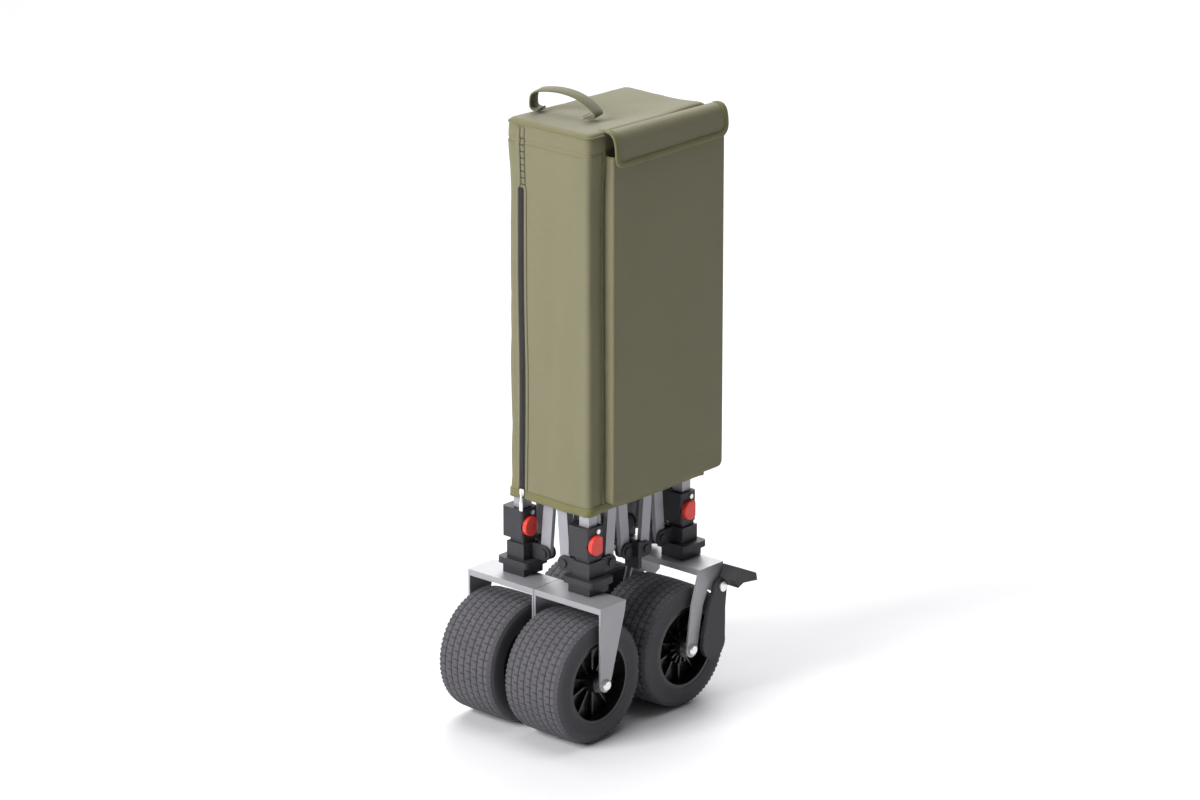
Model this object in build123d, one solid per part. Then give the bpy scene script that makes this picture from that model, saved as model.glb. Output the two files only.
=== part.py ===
"""Folding camp wagon, folded upright in its cover, standing on its four wide wheels.

Frame: origin under the middle of the bounding box, on the ground. +Z is up, +Y is the way the wagon
is pulled, +X is the side with the board pocket. All sizes are in millimetres.
"""
from build123d import *
import os
from math import asin, cos, pi, sin

# ---- driving dimensions -------------------------------------------------------------------------
WHEEL_R = 90.0             # tyre radius
TYRE_WIDTH = 102.0
WHEEL_X = 63.0             # middle of each wheel, either side of the centre plane
REAR_AXLE_Y = -101.0       # fixed wheels
FRONT_AXLE_Y = 85.0        # caster wheels, which trail behind their swivel
RIM_R = 58.0               # seat of the tyre on the rim
RIM_LIP_R = 60.6

POST_X = 62.0              # corner posts
REAR_Y = -66.0
FRONT_Y = 134.0
POST_OUT = 18.0            # lower tube, outside
POST_IN = 14.8             # upper tube, outside
TUBE_WALL = 1.2
POST_TOP = 540.0           # top of the lower tube
INNER_FOOT = 480.0         # bottom of the upper tube

BAR_L = 560.0              # scissor bar, pivot to pivot
BAR_W = 18.0
BAR_T = 7.0
PIVOT_Z = 240.0            # lower pivots
FOLDED_W = 48.0            # distance between the pivots of one X when folded
EAR_OFFSET = 38.0          # post centre to pivot
PLATE_T = 3.5              # ear plates between which the bars turn
GAP = 0.25                 # side play between a bar and an ear plate
PIN_R = 3.0
HOLE_R = 3.1

FORK_TOP = 205.6           # top face of the fork crowns
SHEET = 3.0                # fork steel
CROWN_OUTER = 125.5
AXLE_R = 5.0
AXLE_HOLE_R = 5.06

COVER_X = 74.0             # half width of the cover
COVER_Y = (-78.0, 168.0)
COVER_Z = (321.0, 874.0)
CLOTH = 2.0
POCKET_X = 91.0
POCKET_Y = (-46.0, 190.0)
POCKET_Z = (332.0, 838.0)

FOLD_ANGLE = asin(FOLDED_W / BAR_L)
RISE = BAR_L * cos(FOLD_ANGLE)
TOP_Z = PIVOT_Z + RISE
CENTRE_Z = PIVOT_Z + RISE / 2
STACK = 3 * PLATE_T + 2 * BAR_T + 4 * GAP     # thickness of one scissor pair with its ear plates
STACK_EDGE_X = 71.0                           # outer face of the side stacks
STACK_EDGE_REAR = REAR_Y - 9.5
STACK_EDGE_FRONT = FRONT_Y + 9.5
SIDE_PIVOTS = (-28.0, 20.0, 48.0, 96.0)       # along Y: rear post, mid junction twice, front post
END_PIVOT_X = FOLDED_W / 2

os.makedirs("parts", exist_ok=True)
made = []


def save(name, *solids):
    """Write the solids of one sub-part to its own file."""
    shape = solids[0] if len(solids) == 1 else Compound(children=list(solids))
    export_step(shape, f"parts/{name}.step")
    made.append(name)


def block(x, y, z):
    """A box from its limits along each axis."""
    box = Box(x[1] - x[0], y[1] - y[0], z[1] - z[0])
    return Pos((x[0] + x[1]) / 2, (y[0] + y[1]) / 2, (z[0] + z[1]) / 2) * box


def rod_x(y, z, x0, x1, r):
    return Pos((x0 + x1) / 2, y, z) * Rot(0, 90, 0) * Cylinder(r, abs(x1 - x0))


def rod_y(x, z, y0, y1, r):
    return Pos(x, (y0 + y1) / 2, z) * Rot(90, 0, 0) * Cylinder(r, abs(y1 - y0))


def rod_z(x, y, z0, z1, r):
    return Pos(x, y, (z0 + z1) / 2) * Cylinder(r, abs(z1 - z0))


def plate_x(points, x0, x1):
    """A flat plate that lies across X, from its outline in (Y, Z)."""
    face = make_face(Plane.YZ * Polyline(*points, close=True))
    return Pos(min(x0, x1), 0, 0) * extrude(face, abs(x1 - x0), dir=(1, 0, 0))


def plate_y(points, y0, y1):
    """A flat plate that lies across Y, from its outline in (X, Z)."""
    face = make_face(Plane.XZ * Polyline(*points, close=True))
    return Pos(0, min(y0, y1), 0) * extrude(face, abs(y1 - y0), dir=(0, 1, 0))


def layer(edge, inward, first, last):
    """Limits of one layer of a scissor stack, at depths first and last from its outer face."""
    a = edge + inward * first
    b = edge + inward * last
    return (min(a, b), max(a, b))


def plate_layer(edge, inward, index):
    depth = index * (PLATE_T + BAR_T + 2 * GAP)
    return layer(edge, inward, depth, depth + PLATE_T)


def bar_layer(edge, inward, index):
    depth = PLATE_T + GAP + index * (PLATE_T + BAR_T + 2 * GAP)
    return layer(edge, inward, depth, depth + BAR_T)


# ---- wheels -------------------------------------------------------------------------------------
TYRE_HALF = TYRE_WIDTH / 2
SHOULDER = 10.0
CROWN = 1.6
LIP_DEPTH = 4.0


def turned(points, x, y, z, side):
    """A solid turned about an X axis through (x, y, z), from its (offset along X, radius) outline."""
    outline = [(side * a, r) for a, r in points]
    face = make_face(Plane.XY * Polyline(*outline, close=True))
    return Pos(x, y, z) * revolve(face, Axis.X, 360)


def tyre(x, y):
    r = WHEEL_R
    half = TYRE_HALF
    tread = [(-half, r - CROWN - SHOULDER), (-half + 3, r - CROWN - 3), (-half + SHOULDER, r - CROWN)]
    tread += [(-25, r - 0.4), (0, r), (25, r - 0.4)]
    tread += [(half - SHOULDER, r - CROWN), (half - 3, r - CROWN - 3), (half, r - CROWN - SHOULDER)]
    bead = [(half, RIM_LIP_R), (half - LIP_DEPTH, RIM_LIP_R), (half - LIP_DEPTH, RIM_R)]
    bead += [(-half + LIP_DEPTH, RIM_R), (-half + LIP_DEPTH, RIM_LIP_R), (-half, RIM_LIP_R)]
    return turned(tread + bead, x, y, WHEEL_R, 1)


HUB_R = 15.0
HUB_HALF = 50.7            # the hub runs between the axle's two collars with 0.3 of side play
RIM_WALL = 3.0
WEB_AT = 30.0              # outboard face of the wheel disc, from the wheel's middle
SPOKES = 10
BRAKE_TEETH = 14
BRAKE_RING_R = 25.0
BRAKE_RING_AT = 41.0


def rim(x, y, side, braked):
    """Deep dished nylon wheel: barrel with a lip each side, disc, spoke ribs and hub."""
    half = TYRE_HALF - 0.5
    outer = [(-half, RIM_LIP_R), (-TYRE_HALF + LIP_DEPTH, RIM_LIP_R), (-TYRE_HALF + LIP_DEPTH, RIM_R)]
    outer += [(TYRE_HALF - LIP_DEPTH, RIM_R), (TYRE_HALF - LIP_DEPTH, RIM_LIP_R), (half, RIM_LIP_R)]
    bore = [(half, RIM_R - RIM_WALL), (-half, RIM_R - RIM_WALL)]
    barrel = turned(outer + bore, x, y, WHEEL_R, side)
    inner = RIM_R - RIM_WALL + 0.5
    hub = [(-HUB_HALF, AXLE_HOLE_R), (-HUB_HALF, HUB_R), (WEB_AT - 4, HUB_R), (WEB_AT - 4, inner)]
    hub += [(WEB_AT, inner), (WEB_AT, HUB_R + 2), (HUB_HALF, HUB_R - 1), (HUB_HALF, AXLE_HOLE_R)]
    wheel = barrel + turned(hub, x, y, WHEEL_R, side)
    rib = Pos(0, 0, (HUB_R + inner) / 2) * Box(8, 3, inner - HUB_R)
    for i in range(SPOKES):
        wheel += Pos(x + side * (WEB_AT + 3.5), y, WHEEL_R) * Rot(i * 360 / SPOKES, 0, 0) * rib
    if braked:
        tooth = Pos(0, 0, (HUB_R - 2 + BRAKE_RING_R) / 2) * Box(7, 2.6, BRAKE_RING_R - HUB_R + 2)
        for i in range(BRAKE_TEETH):
            turn = Rot((i + 0.5) * 360 / BRAKE_TEETH, 0, 0)
            wheel += Pos(x + side * BRAKE_RING_AT, y, WHEEL_R) * turn * tooth
    return wheel


COLLAR_R = 9.0
HEAD_R = 8.0
HEAD_T = 4.5


def axle(y, side, inner_face):
    """Stepped axle: collars between fork and hub, domed head outside, flush inner end."""
    inner_arm = inner_face + SHEET
    hub_in = WHEEL_X - TYRE_HALF
    hub_out = WHEEL_X + TYRE_HALF
    points = [(inner_face, 0), (inner_face, AXLE_R), (inner_arm, AXLE_R), (inner_arm, COLLAR_R)]
    points += [(hub_in, COLLAR_R), (hub_in, AXLE_R), (hub_out, AXLE_R), (hub_out, COLLAR_R)]
    points += [(CROWN_OUTER - SHEET, COLLAR_R), (CROWN_OUTER - SHEET, AXLE_R), (CROWN_OUTER, AXLE_R)]
    face = CROWN_OUTER + HEAD_T
    points += [(CROWN_OUTER, HEAD_R), (face - 1.5, HEAD_R), (face, HEAD_R - 2), (face, 0)]
    return turned(points, 0, y, WHEEL_R, side)


# ---- forks --------------------------------------------------------------------------------------
SWIVEL_R = 8.0
SWIVEL_HOLE_R = 8.06
SWIVEL_TOP = 217.0
LIP_DROP = 9.0
BRAKE_PIVOT = (140.5, 173.0)



def arm(points, eye, eye_r, x0, x1):
    """One fork arm: a tapered plate with a round eye at the axle."""
    return plate_x(points, x0, x1) + rod_x(eye, WHEEL_R, x0, x1, eye_r)


def rear_fork(side):
    """Pressed crown with a folded lip, and two tapered arms. The outer arm is the deeper one."""
    inner = 0.5
    y0 = -112.0
    y1 = -58.0
    crown = block(sorted((side * inner, side * CROWN_OUTER)), (y0, y1), (FORK_TOP - SHEET, FORK_TOP))
    lip_x = sorted((side * inner, side * CROWN_OUTER))
    fork = crown + block(lip_x, (y0, y0 + SHEET), (FORK_TOP - LIP_DROP, FORK_TOP))
    eye = REAR_AXLE_Y
    shape = [(y0, FORK_TOP), (y1, FORK_TOP), (y1 - 2, FORK_TOP - 14), (eye + 11, WHEEL_R + 2)]
    shape += [(eye - 11, WHEEL_R), (y0, WHEEL_R + 6)]
    for x0, x1 in ((inner, inner + SHEET), (CROWN_OUTER - SHEET, CROWN_OUTER)):
        fork += arm(shape, eye, 11, side * x0, side * x1)
    fork -= rod_x(eye, WHEEL_R, -140, 140, AXLE_R)
    return fork


FRONT_INNER = 3.5


def front_fork(side):
    """Caster fork: crown with a swivel stub, and arms raked back to the axle with an ear for the brake."""
    y0 = 100.0
    y1 = 152.0
    span = sorted((side * FRONT_INNER, side * CROWN_OUTER))
    fork = block(span, (y0, y1), (FORK_TOP - SHEET, FORK_TOP))
    fork += block(span, (y0, y0 + SHEET), (FORK_TOP - LIP_DROP, FORK_TOP))
    eye = FRONT_AXLE_Y
    shape = [(y0, FORK_TOP), (y1, FORK_TOP), (y1, 166), (140, 160), (118, 172), (108, 150)]
    shape += [(eye + 12, WHEEL_R + 3), (eye - 12, WHEEL_R - 1), (eye - 1, 156)]
    for x0, x1 in ((FRONT_INNER, FRONT_INNER + SHEET), (CROWN_OUTER - SHEET, CROWN_OUTER)):
        fork += arm(shape, eye, 12, side * x0, side * x1)
    fork -= rod_x(eye, WHEEL_R, -140, 140, AXLE_R)
    fork -= rod_x(*BRAKE_PIVOT, side * 120, side * 130, 4.0)
    fork += rod_z(side * POST_X, FRONT_Y, FORK_TOP - 1, FORK_TOP + 0.3, 16)
    fork += rod_z(side * POST_X, FRONT_Y, FORK_TOP - 1, SWIVEL_TOP, SWIVEL_R)
    return fork


# ---- brake levers -------------------------------------------------------------------------------
LEVER_X = (127.0, 134.0)
PEDAL_OUT = 157.0
PAWL = (119.0, 96.0)


def brake_lever(side):
    """Teardrop lever outside the fork arm, with a foot pedal above and a pawl pin into the wheel."""
    x0 = side * LEVER_X[0]
    x1 = side * LEVER_X[1]
    blade = plate_x([(100, 104), (112, 142), (129, 180), (152, 180), (147.5, 140), (147, 92)], x0, x1)
    lever = blade + rod_x(123.5, 92, x0, x1, 24) + rod_x(*BRAKE_PIVOT, x0, x1, 12)
    pedal = [(140, 186), (151, 203), (188, 186), (191, 174), (160, 178), (146, 172)]
    lever += plate_x(pedal, side * LEVER_X[0], side * PEDAL_OUT)
    lever += rod_x(*PAWL, side * 101, x1, 3.0)
    lever -= rod_x(*BRAKE_PIVOT, x1, side * (PEDAL_OUT + 1), 8.2)
    return lever - rod_x(*BRAKE_PIVOT, side * 120, side * 140, 4.08)


def brake_stud(side):
    """Shouldered bolt on which the lever turns."""
    shank = rod_x(*BRAKE_PIVOT, side * (CROWN_OUTER - SHEET), side * (LEVER_X[1] + 0.3), 4.0)
    return shank + rod_x(*BRAKE_PIVOT, side * (LEVER_X[1] + 0.3), side * (LEVER_X[1] + 3.0), 7.5)


# ---- base castings with their lock housings -----------------------------------------------------
EAR_R = 11.0
HOUSING = (258.0, 303.0)
BUTTON_Z = 277.0
BUTTON_R = 14.5
BUTTON_HALF = 13.0
BUTTON_FACE = 14.0         # outer face of the lock housing, from the post's centre
BUTTON_PROUD = 6.0
BUTTON_TRAVEL = 2.5


def ear(across, limits, pivot, body_edge, z):
    """One ear plate: round about its pivot, running back into the casting."""
    a = min(pivot, body_edge)
    b = max(pivot, body_edge)
    if across == "y":
        plate = block((a, b), limits, (z - EAR_R, z + EAR_R)) + rod_y(pivot, z, *limits, EAR_R)
    else:
        plate = block(limits, (a, b), (z - EAR_R, z + EAR_R)) + rod_x(pivot, z, *limits, EAR_R)
    return plate


def rivet(across, pivot, z, start, end, proud):
    """Pivot rivet through two ear plates, with a low head at its outer end."""
    rod = rod_y if across == "y" else rod_x
    pin = rod(pivot, z, start, end, PIN_R)
    if proud:
        direction = 1 if proud > 0 else -1
        face = max(start, end) if direction > 0 else min(start, end)
        pin += rod(pivot, z, face, face + proud, 6.0)
    return pin


def corner_joints(sx, sy, upper):
    """For one corner, the two places where bars are hinged: each has a direction, layers and pivot."""
    end_edge = STACK_EDGE_REAR if sy < 0 else STACK_EDGE_FRONT
    inward = 1 if sy < 0 else -1
    first = (sx > 0) != upper              # bar a starts low on the right and ends high on the left
    end_index = 0 if first else 1
    side_index = 0 if (sy < 0) != upper else 1
    side_pivot = SIDE_PIVOTS[0] if sy < 0 else SIDE_PIVOTS[3]
    return (
        ("y", end_edge, inward, end_index, sx * END_PIVOT_X),
        ("x", sx * STACK_EDGE_X, -sx, side_index, side_pivot),
    )


def hinge_ears(joints, edges, z, proud):
    """Ear plates and rivets for both hinges of a corner, joined into one list of solids."""
    plates = None
    pins = []
    for (across, edge, inward, index, pivot), body_edge in zip(joints, edges):
        near = plate_layer(edge, inward, index)
        far = plate_layer(edge, inward, index + 1)
        pair = ear(across, near, pivot, body_edge, z) + ear(across, far, pivot, body_edge, z)
        hole = rod_y if across == "y" else rod_x
        start = min(near[0], far[0])
        end = max(near[1], far[1])
        pair -= hole(pivot, z, start - 1, end + 1, PIN_R)
        plates = pair if plates is None else plates + pair
        head = 0
        if proud:
            head = -2.5 * inward
        pins.append(rivet(across, pivot, z, start, end, head))
    return plates, pins


BODY_HALF = 16.0


def base(sx, sy):
    """Nylon base casting: foot, flange, body with two clevises, and the lock housing round the tube."""
    cx = sx * POST_X
    cy = REAR_Y if sy < 0 else FRONT_Y
    foot_z = FORK_TOP if sy < 0 else FORK_TOP + 0.4
    foot = block((cx - 20, cx + 20), (cy - 20, cy + 20), (foot_z, 219.5))
    flange = block((cx - 28, cx + 28), (cy - 24, cy + 24), (219, 228.5))
    flange = fillet(flange.edges().filter_by(Axis.Z), 6)
    body = block((cx - BODY_HALF, cx + BODY_HALF), (cy - BODY_HALF, cy + BODY_HALF), (228, 252))
    neck = block((cx - 12.5, cx + 12.5), (cy - 12.5, cy + 12.5), (251, HOUSING[0] + 1))
    housing = block((cx - 25, cx + BUTTON_FACE), (cy - 16, cy + 16), HOUSING)
    housing = fillet(housing.edges().filter_by(Axis.Z), 4)
    casting = foot + flange + body + neck + housing
    joints = corner_joints(sx, sy, upper=False)
    edges = (cx - sx * (BODY_HALF - 2), cy - sy * (BODY_HALF - 2))
    plates, pins = hinge_ears(joints, edges, PIVOT_Z, proud=True)
    casting += plates
    casting -= block((cx - 9, cx + 9), (cy - 9, cy + 9), (222, 320))
    recess = button_shape(cx + BUTTON_FACE - 3, cx + BUTTON_FACE + 1, cy, 0.35)
    casting -= recess
    if sy > 0:
        casting -= rod_z(cx, cy, 200, 222, SWIVEL_HOLE_R)
    screw = rod_x(cy + 4, 296, cx + BUTTON_FACE, cx + BUTTON_FACE + 2, 3.6)
    return [casting, *pins, screw]


def button_shape(x0, x1, cy, grow):
    """D-shaped block across X: a round side towards -Y and a flat side towards +Y."""
    round_part = rod_x(cy - 1, BUTTON_Z, x0, x1, BUTTON_R + grow)
    keep = block((x0 - 1, x1 + 1), (cy - 30, cy + 9 + grow), (BUTTON_Z - 30, BUTTON_Z + 30))
    return round_part & keep


def lock_button(sx, sy):
    cx = sx * POST_X
    cy = REAR_Y if sy < 0 else FRONT_Y
    button = button_shape(cx + BUTTON_FACE - 0.4, cx + BUTTON_FACE + BUTTON_PROUD, cy, 0)
    face = button.faces().sort_by(Axis.X)[-1]
    return fillet(face.edges(), 1.8)


def lower_tube(sx, sy):
    cx = sx * POST_X
    cy = REAR_Y if sy < 0 else FRONT_Y
    h = POST_OUT / 2
    tube = block((cx - h, cx + h), (cy - h, cy + h), (222, POST_TOP))
    h -= TUBE_WALL
    return tube - block((cx - h, cx + h), (cy - h, cy + h), (223.2, POST_TOP + 1))


TOP_CASTING = (783.0, 842.0)


def upper_post(sx, sy):
    """Inner tube with the top corner casting on it."""
    cx = sx * POST_X
    cy = REAR_Y if sy < 0 else FRONT_Y
    h = POST_IN / 2
    tube = block((cx - h, cx + h), (cy - h, cy + h), (INNER_FOOT, TOP_CASTING[1] - 4))
    hollow = h - TUBE_WALL
    bore = (INNER_FOOT - 1, TOP_CASTING[1] - 6)
    tube -= block((cx - hollow, cx + hollow), (cy - hollow, cy + hollow), bore)
    casting = block((cx - 9.4, cx + 9.4), (cy - 9.4, cy + 9.4), TOP_CASTING)
    casting = fillet(casting.faces().sort_by(Axis.Z)[-1].edges(), 3)
    joints = corner_joints(sx, sy, upper=True)
    edges = (cx - sx * 7, cy - sy * 7)
    plates, pins = hinge_ears(joints, edges, TOP_Z, proud=False)
    casting += plates
    casting -= block((cx - h, cx + h), (cy - h, cy + h), (TOP_CASTING[0] - 20, TOP_CASTING[1] - 4))
    return [casting, tube, *pins]


# ---- scissor bars -------------------------------------------------------------------------------
def bar(across, low, high, limits):
    """Flat bar with round ends between two pivots in its own plane, with three pivot holes."""
    tilt = asin((high - low) / BAR_L) * 180 / pi
    thick = limits[1] - limits[0]
    middle = (limits[0] + limits[1]) / 2
    shape = Box(BAR_W, thick, BAR_L)
    for end in (-BAR_L / 2, BAR_L / 2):
        shape += rod_y(0, end, -thick / 2, thick / 2, BAR_W / 2)
    for at in (-BAR_L / 2, 0, BAR_L / 2):
        shape -= rod_y(0, at, -thick, thick, HOLE_R)
    centre = (low + high) / 2
    if across == "y":
        return Pos(centre, middle, CENTRE_Z) * Rot(0, tilt, 0) * shape
    return Pos(middle, centre, CENTRE_Z) * Rot(-tilt, 0, 0) * Rot(0, 0, 90) * shape


def centre_pin(across, at, a_limits, b_limits):
    """Rivet where the two bars cross, fixed in bar a, with a washer between the bars."""
    rod = rod_y if across == "y" else rod_x
    ends = (*a_limits, *b_limits)
    pin = rod(at, CENTRE_Z, min(ends), max(ends), PIN_R)
    inner = sorted(ends)[1:3]
    return pin + rod(at, CENTRE_Z, inner[0] + 0.1, inner[1] - 0.1, 7.0)


def scissor(name_a, name_b, across, edge, inward, low_a, low_b):
    """One X of two bars. Bar a rises from low_a to above low_b, bar b the other way."""
    a_limits = bar_layer(edge, inward, 0)
    b_limits = bar_layer(edge, inward, 1)
    bar_a = bar(across, low_a, low_b, a_limits) + centre_pin(across, (low_a + low_b) / 2, a_limits, b_limits)
    save(name_a, bar_a)
    save(name_b, bar(across, low_b, low_a, b_limits))


# ---- mid junctions ------------------------------------------------------------------------------
def mid_junction(sx, upper):
    """Nylon block with two clevises, where the two side scissors meet."""
    edge = sx * STACK_EDGE_X
    inward = -sx
    z = TOP_Z if upper else PIVOT_Z
    indices = (0, 1) if upper else (1, 0)
    web = sorted((edge, edge + inward * STACK))
    junction = block(web, (30.5, 37.5), (z - 13, z + 13))
    pins = []
    for index, pivot in zip(indices, SIDE_PIVOTS[1:3]):
        near = plate_layer(edge, inward, index)
        far = plate_layer(edge, inward, index + 1)
        for limits in (near, far):
            junction += ear("x", limits, pivot, 34.0, z)
        start = min(near[0], far[0])
        end = max(near[1], far[1])
        junction -= rod_x(pivot, z, start - 1, end + 1, PIN_R)
        pins.append(rivet("x", pivot, z, start, end, 0 if upper else sx * 2.5))
    if not upper:
        junction += block(web, (30.5, 37.5), (z - 27, z - 12))
    return [junction, *pins]


# ---- tow bar ------------------------------------------------------------------------------------
TOW_PIVOT = (134.0, 222.0)
TOW_Y = 179.0
YOKE_Y = (144.0, 147.0)
CRANK_HALF = 7.0
YOKE_HALF = 10.5
TOW_PIN_R = 4.0
TOW_EYE_R = 12.0
TOW_TUBE_HALF = (10.0, 8.0)    # the outer tube: half across the wagon, half along it
CHEEK = (7.3, 10.5)
TUBE_FOOT = 318.0


def tow_yoke():
    """Hanger strap from the front centre pin, with two cheeks that hold the tow bar's eye."""
    strap = block((-YOKE_HALF, YOKE_HALF), YOKE_Y, (284, CENTRE_Z + 9))
    for side in (-1, 1):
        outline = [(144, 292), (148, 292), (150, 262), (146, 222), (122, 222), (126, 234), (139, 262)]
        cheek = plate_x(outline, side * CHEEK[0], side * CHEEK[1])
        strap += cheek + rod_x(*TOW_PIVOT, side * CHEEK[0], side * CHEEK[1], TOW_EYE_R)
    strap -= rod_x(*TOW_PIVOT, -20, 20, TOW_PIN_R)
    strap -= rod_y(0, CENTRE_Z, 140, 150, HOLE_R)
    pin = rod_x(*TOW_PIVOT, -CHEEK[1], CHEEK[1], TOW_PIN_R)
    for side in (-1, 1):
        pin += rod_x(*TOW_PIVOT, side * CHEEK[1], side * (CHEEK[1] + 1.5), 6.0)
    return [strap, pin]


def tow_bar():
    """Cranked nylon foot that steps out under the cover's hem, and the outer tube above it."""
    y, z = TOW_PIVOT
    back = [(y - 11, z + 2), (138, 264), (168.6, 308), (TOW_Y - 10, TUBE_FOOT + 26)]
    front = [(TOW_Y + 10, TUBE_FOOT + 26), (TOW_Y + 10, 306), (155, 262), (y + 9, z + 6)]
    crank = plate_x(back + front, -CRANK_HALF, CRANK_HALF)
    crank += rod_x(y, z, -CRANK_HALF, CRANK_HALF, TOW_EYE_R)
    crank += block((-12, 12), (TOW_Y - 10, TOW_Y + 10), (TUBE_FOOT - 8, TUBE_FOOT + 26))
    crank -= rod_x(y, z, -20, 20, TOW_PIN_R + 0.08)
    half_x, half_y = TOW_TUBE_HALF
    outer = block((-half_x, half_x), (TOW_Y - half_y, TOW_Y + half_y), (TUBE_FOOT, 600))
    crank -= outer
    outer -= block((-8.5, 8.5), (TOW_Y - 6.5, TOW_Y + 6.5), (TUBE_FOOT + 3, 601))
    return [crank, outer]


def tow_grip():
    """Inner tube and T-shaped grip."""
    inner = block((-8.2, 8.2), (TOW_Y - 6.2, TOW_Y + 6.2), (332, 836))
    inner -= block((-7, 7), (TOW_Y - 5, TOW_Y + 5), (331, 834))
    grip = rod_x(TOW_Y, 846, -52, 52, 11)
    grip += block((-13, 13), (TOW_Y - 9.5, TOW_Y + 9.5), (812, 846))
    grip -= block((-8.2, 8.2), (TOW_Y - 6.2, TOW_Y + 6.2), (800, 836))
    return [inner, grip]


# ---- cover and what is on it --------------------------------------------------------------------
ZIP_X = -50.0
ZIP_Z = (322.0, 776.0)
HANDLE_Y = -12.0
HANDLE_X = (-71.0, 27.0)
HANDLE_TOP = 909.0
WEBBING = 25.0


def cover_shell():
    """Fabric box open at the bottom, with an open-topped pocket on its right side."""
    outside = block((-COVER_X, COVER_X), COVER_Y, COVER_Z)
    outside = fillet(outside.edges().filter_by(Axis.Z), 6)
    pocket = block((COVER_X - 1, POCKET_X), POCKET_Y, POCKET_Z)
    shell = outside + pocket
    inside_y = (COVER_Y[0] + CLOTH, COVER_Y[1] - CLOTH)
    half = COVER_X - CLOTH
    shell -= block((-half, half), inside_y, (COVER_Z[0] - 1, COVER_Z[1] - CLOTH))
    room_y = (POCKET_Y[0] + CLOTH, POCKET_Y[1] - CLOTH)
    room_z = (POCKET_Z[0] + CLOTH, POCKET_Z[1] + 1)
    return shell - block((COVER_X, POCKET_X - CLOTH), room_y, room_z)


def floor_board():
    """Stiff floor panel, folded in three, that is kept in the pocket."""
    y = (POCKET_Y[0] + CLOTH + 1, POCKET_Y[1] - CLOTH - 1)
    z0 = POCKET_Z[0] + CLOTH + 0.5
    panels = []
    for i in range(3):
        x0 = COVER_X + 0.6 + i * 4.8
        panels.append(block((x0, x0 + 4.2), y, (z0, POCKET_Z[1] - 6)))
    top = POCKET_Z[1] - 6
    hinge_strip = block((COVER_X + 0.6, COVER_X + 14.4), (y[0] + 20, y[1] - 20), (top, top + 2))
    return panels[0] + panels[1] + panels[2] + hinge_strip


def pocket_flap():
    """Flap sewn along the top right edge, curving out over the pocket's mouth."""
    outer = [(74.4, 868), (84, 869), (91, 866), (94.5, 859), (95.5, 846), (95.5, 822)]
    inner = [(93.5, 822), (93.5, 845), (92.6, 857.5), (89.6, 864), (83.7, 866.8), (74.4, 865.6)]
    face = make_face(Plane.XZ * Polyline(*(outer + inner), close=True))
    y0 = -47.0
    y1 = 191.0
    return Pos(0, y0, 0) * extrude(face, y1 - y0, dir=(0, 1, 0))


def carry_handle():
    """Webbing loop sewn to the cover's top."""
    x0, x1 = HANDLE_X
    z0 = COVER_Z[1]
    t = 3.0
    rise = HANDLE_TOP - z0
    middle = (x0 + x1) / 2
    half = (x1 - x0) / 2

    def arch(offset, steps=12):
        """Points along a soft arch, offset inwards from its outer face."""
        points = []
        for i in range(steps + 1):
            angle = pi * i / steps
            span = half - 12 - offset
            height = rise - offset
            points.append((middle - span * cos(angle), z0 + height * sin(angle) ** 0.7))
        return points

    outer = [(x0, z0 + t), *arch(0)[1:-1], (x1, z0 + t), (x1, z0)]
    inner = [*reversed(arch(t)[1:-1]), (x0, z0)]
    inner = [(x1 - 14, z0), *inner[:-1], (x0 + 14, z0), (x0, z0)]
    face = make_face(Plane.XZ * Polyline(*(outer + inner), close=True))
    y0 = HANDLE_Y - WEBBING / 2
    return Pos(0, y0, 0) * extrude(face, WEBBING, dir=(0, 1, 0))


def zip_tape():
    y = COVER_Y[0]
    tape = block((ZIP_X - 5, ZIP_X + 5), (y - 0.6, y), ZIP_Z)
    return tape + block((ZIP_X - 1.8, ZIP_X + 1.8), (y - 1.6, y), ZIP_Z)


def zip_slider():
    """Slider body astride the teeth, with its puller hanging down."""
    y = COVER_Y[0]
    z = ZIP_Z[0] + 2
    body = block((ZIP_X - 4, ZIP_X + 4), (y - 4.0, y - 1.8), (z, z + 11))
    tab = block((ZIP_X - 3, ZIP_X + 3), (y - 5.5, y - 4.0), (z - 22, z + 8))
    return body + tab


def tub_fabric():
    """Folded wagon tub: a slim bag of gathered fabric between the bars, open at its top."""
    bag = block((-38, 38), (-44, 112), (330, 800))
    return bag - block((-34, 34), (-40, 108), (334, 801))


# ---- write every sub-part -----------------------------------------------------------------------
CORNERS = {"rear_right": (1, -1), "rear_left": (-1, -1), "front_right": (1, 1), "front_left": (-1, 1)}

for name, (sx, sy) in CORNERS.items():
    front = sy > 0
    wheel_y = FRONT_AXLE_Y if front else REAR_AXLE_Y
    save(f"{name}_tyre", tyre(sx * WHEEL_X, wheel_y))
    save(f"{name}_rim", rim(sx * WHEEL_X, wheel_y, sx, front))
    inner_face = FRONT_INNER if front else 0.5
    if front:
        save(f"{name}_axle", axle(wheel_y, sx, inner_face), brake_stud(sx))
        save(f"{name}_fork", front_fork(sx))
        save(f"{name}_brake_lever", brake_lever(sx))
    else:
        save(f"{name}_axle", axle(wheel_y, sx, inner_face))
        save(f"{name}_fork", rear_fork(sx))
    save(f"{name}_base", *base(sx, sy))
    save(f"{name}_lock_button", lock_button(sx, sy))
    save(f"{name}_lower_tube", lower_tube(sx, sy))
    save(f"{name}_upper_post", *upper_post(sx, sy))

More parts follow.
